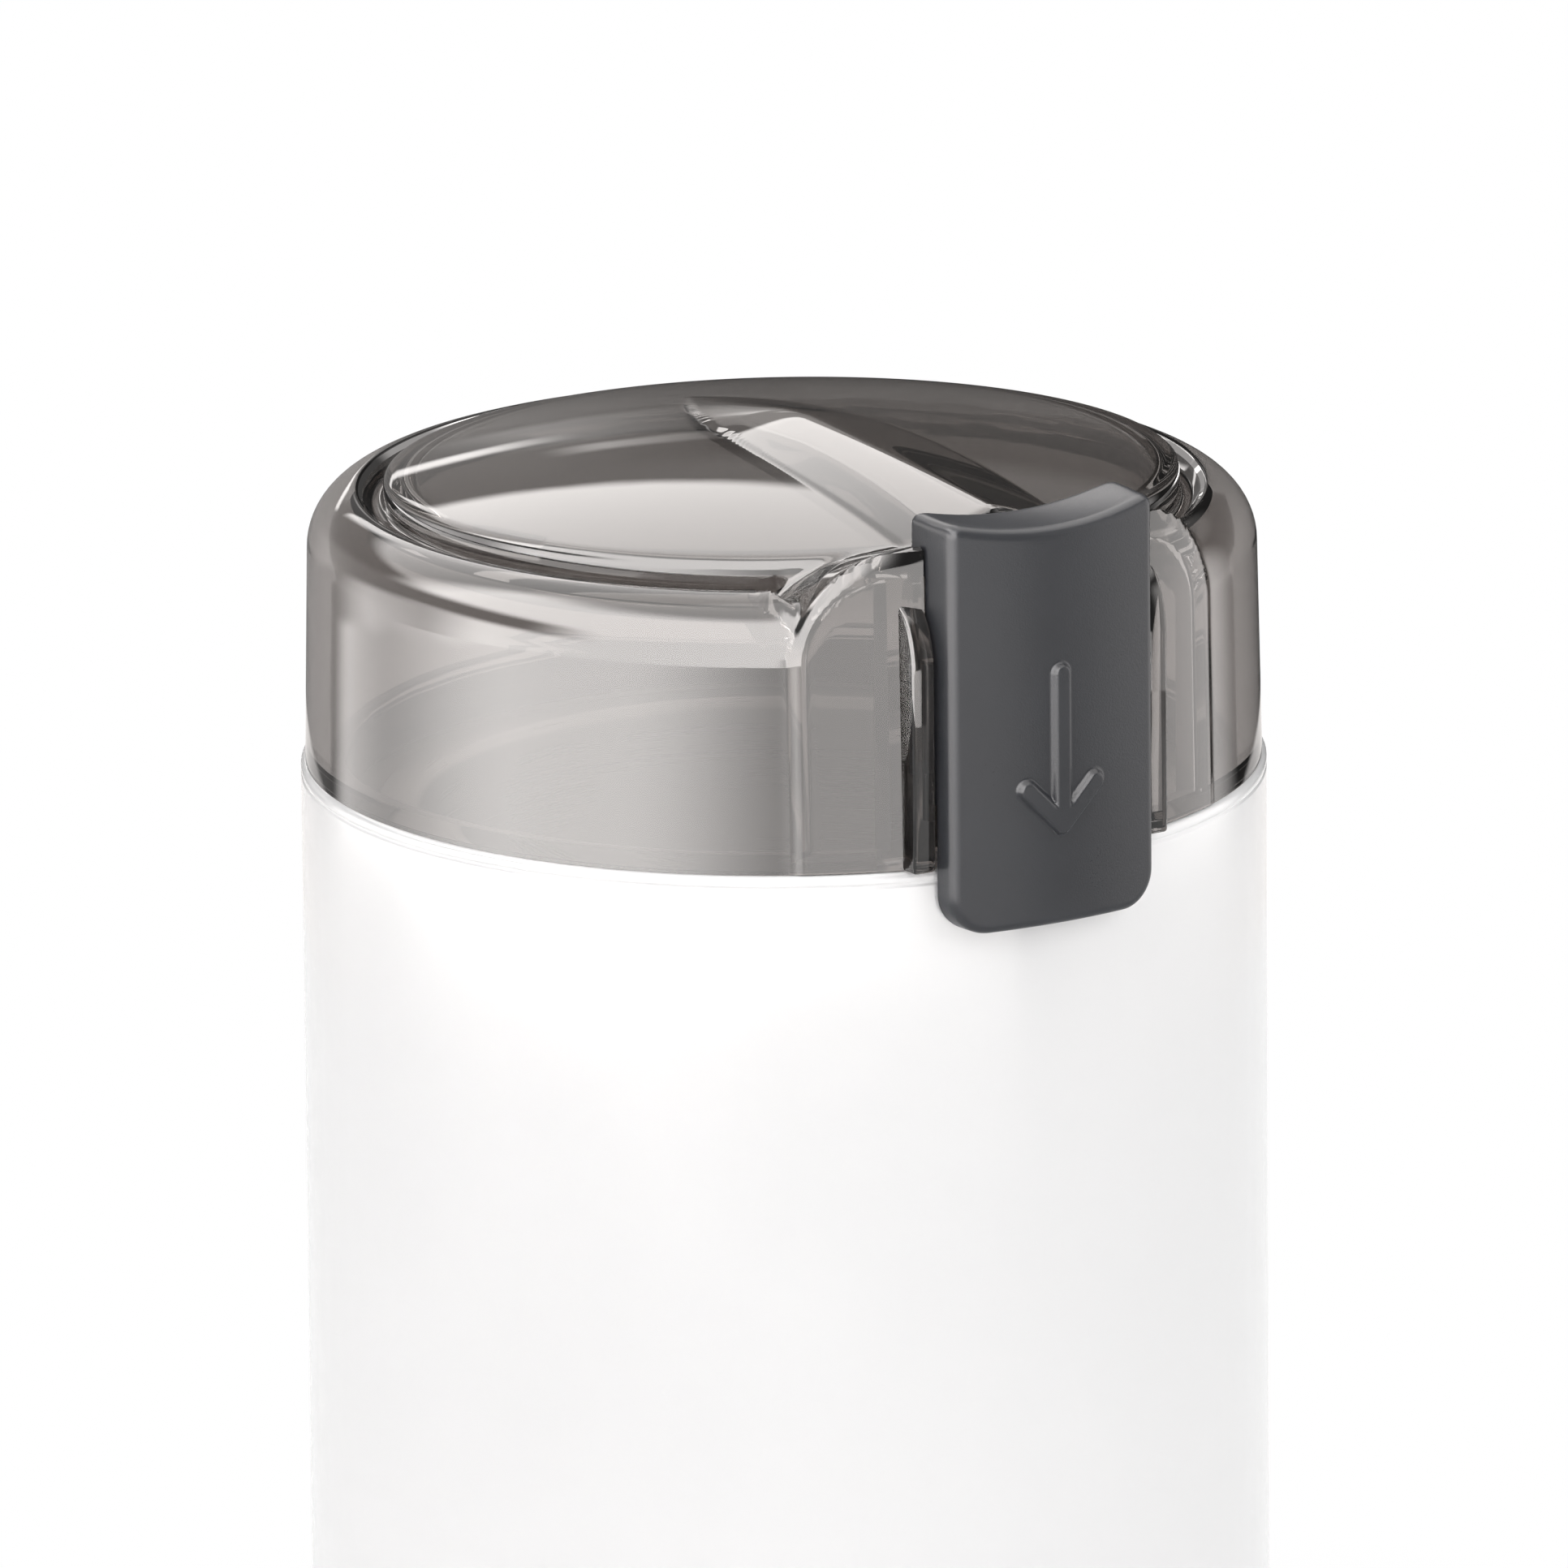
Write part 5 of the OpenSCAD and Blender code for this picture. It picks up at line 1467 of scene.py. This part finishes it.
PATCHES = (
    Patch(0.0, 200.0, 1.0, 45.0, 120.0, 10.0, 4.5),
    Patch(-140.0, 40.0, 8.0, 29.0, 80.0, 3.0, 3.4),
    Patch(-175.5, 15.0, 3.0, 25.8, 80.0, 1.0, 3.7, 0.0, -0.6),
    Patch(-168.0, 8.0, 1.5, 10.6, 12.4, 0.6, 2.8),
    Patch(-178.0, 4.0, 1.5, 6.0, 13.5, 1.2, 0.8),
    Patch(-178.0, 3.5, 1.0, 14.8, 16.8, 0.6, 1.6),
    Patch(150.0, 34.0, 4.0, -25.0, 22.0, 3.0, 0.05),
    Patch(98.0, 30.0, 10.0, -25.0, 30.0, 8.0, 2.8),
    Patch(-46.0, 62.0, 12.0, -30.0, 60.0, 8.0, 12.0),
    Patch(-104.0, 20.0, 12.0, -30.0, 10.0, 5.0, 4.0),
    Patch(-100.0, 46.0, 12.0, 8.0, 25.0, 4.5, 0.7, 0.0045, 0.16),
    Patch(-45.0, 84.0, 6.0, -30.0, -11.45, 0.12, 3.2, 0.000124, 0.01116),
    Patch(27.0, 27.0, 2.0, -30.0, -8.5, 0.5, 5.0),
    Patch(-51.0, 36.0, 24.0, -30.0, -11.4, 0.12, 11.0, 0.000124, 0.0126),
    Patch(0.0, 200.0, 1.0, -90.0, -15.9, 0.1, 1.0),
)


@dataclass(frozen=True)
class Lamp:
    """A square soft lamp: degrees from the camera's direction and above, millimetres, watts."""

    name: str
    azimuth: float
    elevation: float
    away: float
    power: float
    size: float = 900.0


LAMPS = (
    Lamp("key", -40.0, 48.0, 1300.0, 5.4),
    Lamp("fill", 62.0, 30.0, 1500.0, 6.4),
    Lamp("top", 180.0, 72.0, 1200.0, 5.0),
)


@dataclass
class Studio:
    """Pale floor, white surroundings, lamps, panels and the camera."""

    aim: tuple[float, float, float] = (0.0, 0.0, 129.3)
    azimuth: float = -32.0
    elevation: float = 15.0
    distance: float = 2200.0
    lens: float = 554.0
    roll: float = -0.5
    ambient: float = 0.36
    floor_r: float = 3.2
    wall_r: float = 1200.0
    wall_z: float = 150.0
    base: float = 0.3
    glow: Colour = (1.0, 0.965, 0.945)
    floor_grey: Colour = (0.86, 0.86, 0.86)
    sensor: float = 36.0
    clip: float = 50.0

    def direction(self, azimuth: float, elevation: float) -> Vector:
        """Unit vector from the grinder towards an azimuth and elevation in degrees."""
        a, e = math.radians(azimuth), math.radians(elevation)
        return Vector((math.sin(a) * math.cos(e), -math.cos(a) * math.cos(e), math.sin(e)))

    def camera(self) -> None:
        """Makes the scene's camera."""
        data = bpy.data.cameras.new("camera")
        data.lens, data.sensor_width, data.clip_end = self.lens, self.sensor, self.clip
        cam = bpy.data.objects.new("camera", data)
        back = self.direction(self.azimuth, self.elevation)
        cam.location = Vector(self.aim) * MM + back * self.distance * MM
        roll = Matrix.Rotation(math.radians(self.roll), 3, "Z")
        turn = (-back).to_track_quat("-Z", "Y").to_matrix() @ roll
        cam.rotation_euler = turn.to_euler()
        bpy.context.scene.collection.objects.link(cam)
        bpy.context.scene.camera = cam

    def world(self) -> None:
        """White surroundings, which light the grinder less than they show."""
        world = bpy.data.worlds.new("studio")
        bpy.context.scene.world = world
        world.use_nodes = True
        nodes = Nodes(world.node_tree)
        inputs = {"Value": nodes.seen(), "To Min": self.ambient}
        back = nodes.tree.nodes["Background"].inputs
        nodes.feed(back["Strength"], nodes.node("ShaderNodeMapRange", inputs=inputs))
        nodes.feed(back["Color"], (*WHITE, 1.0))

    def floor(self) -> None:
        """A pale round floor that shows white away from the grinder and keeps its shadow."""
        radii = np.array([self.floor_r / MM, 1000.0, 400.0, 200.0, 120.0, 60.0, 0.0])
        made = Draft().grid(turned(stacked(radii, -0.05), around(96))).piece("studio_floor")
        s = Shading("studio_floor")
        x, y, _ = s.axes()
        share = s.seen() * ((x**2.0 + y**2.0) ** 0.5).step(110.0, 200.0)
        s.surface(Base_Color=self.floor_grey, Roughness=0.6)
        inputs = {0: share, 1: Signal(s, s.shader.outputs[0]), 2: s.glow(WHITE, 1.0)}
        made.data.materials.append(s.shown(s.node("ShaderNodeMixShader", inputs=inputs)))

    def light(self, lamp: Lamp) -> None:
        """Hangs one lamp, which lights the grinder but isn't mirrored in it."""
        data = bpy.data.lights.new(lamp.name, "AREA")
        data.size, data.energy = lamp.size * MM, lamp.power
        made = bpy.data.objects.new(lamp.name, data)
        way = self.direction(self.azimuth + lamp.azimuth, lamp.elevation)
        made.location = Vector(self.aim) * MM + way * lamp.away * MM
        made.rotation_euler = way.to_track_quat("Z", "Y").to_euler()
        made.visible_camera = made.visible_glossy = made.visible_transmission = False
        bpy.context.scene.collection.objects.link(made)

    def surroundings(self) -> None:
        """What only mirrors see: a round wall around the grinder, painted with soft patches.

        Each patch's strength is the product of soft steps of the angle around and the angle
        above, and it covers what came before it by that strength.
        """
        lift = np.radians(np.concatenate([span(-4.4, 88.0, 2.2), [90.0]]))
        dome = stacked(self.wall_r * np.cos(lift), self.wall_z + self.wall_r * np.sin(lift))
        outline = np.concatenate([[[430.0, 3.0], [560.0, 42.0]], dome])
        made = Draft().grid(turned(outline[::-1], around(120))).piece("reflected_studio")
        s = Shading("reflected_studio")
        x, y, z = s.axes((0.0, 0.0, self.wall_z))
        above = s.maths("ARCTAN2", z, (x**2.0 + y**2.0) ** 0.5) * DEGREES
        level = self.base
        for patch in PATCHES:
            turn = math.radians(self.azimuth + patch.middle)
            ahead = x * math.sin(turn) - y * math.cos(turn)
            aside = x * math.cos(turn) + y * math.sin(turn)
            angle = s.maths("ARCTAN2", aside, ahead) * DEGREES
            away = s.maths("ABSOLUTE", angle, 0.0)
            mask = 1.0 - away.step(patch.half - patch.soft, patch.half + patch.soft)
            tilt = above + angle * angle * patch.bend - angle * patch.lean
            mask = mask * tilt.step(patch.low - patch.edge, patch.low + patch.edge)
            mask = mask * (1.0 - tilt.step(patch.high - patch.edge, patch.high + patch.edge))
            level = level * (1.0 - mask) + mask * patch.level
        made.data.materials.append(s.shown(s.glow(self.glow, level)))
        made.visible_camera = made.visible_diffuse = made.visible_transmission = False
        made.visible_shadow = made.visible_volume_scatter = False

    def make(self) -> None:
        """Sets up the whole studio."""
        self.camera()
        self.world()
        self.floor()
        for lamp in LAMPS:
            self.light(lamp)
        self.surroundings()
        bpy.context.scene.view_settings.view_transform = "Standard"


# ---- Assembly ----


def main() -> None:
    """Builds and dresses every piece, then the studio."""
    rim = Rim.from_frame()
    wardrobe = Wardrobe(frame["record"])
    for name, node in frame["nodes"].items():
        wardrobe.dress_node(name, node)
    shell, bowl = Shell(rim), Bowl()
    makers = [
        (Lid(rim).make, "smoke_clear"),
        (Button(rim).make, "button_plastic"),
        (shell.housing, "white_shell"),
        (shell.feet, "rubber_pads"),
        (shell.gland, "rubber_gland"),
        (bowl.bowl, "bowl_steel"),
        (bowl.blade, "blade_steel"),
        (bowl.nut, "blade_steel"),
        (ReturnSpring().make, "spring_wire"),
    ]
    for make, slot in makers:
        piece = make()
        wardrobe.dress(piece, slot)
        log.info("%s: %d faces, %s", piece.name, len(piece.data.polygons), slot)
    Studio().make()


if __name__ == "__main__":
    main()
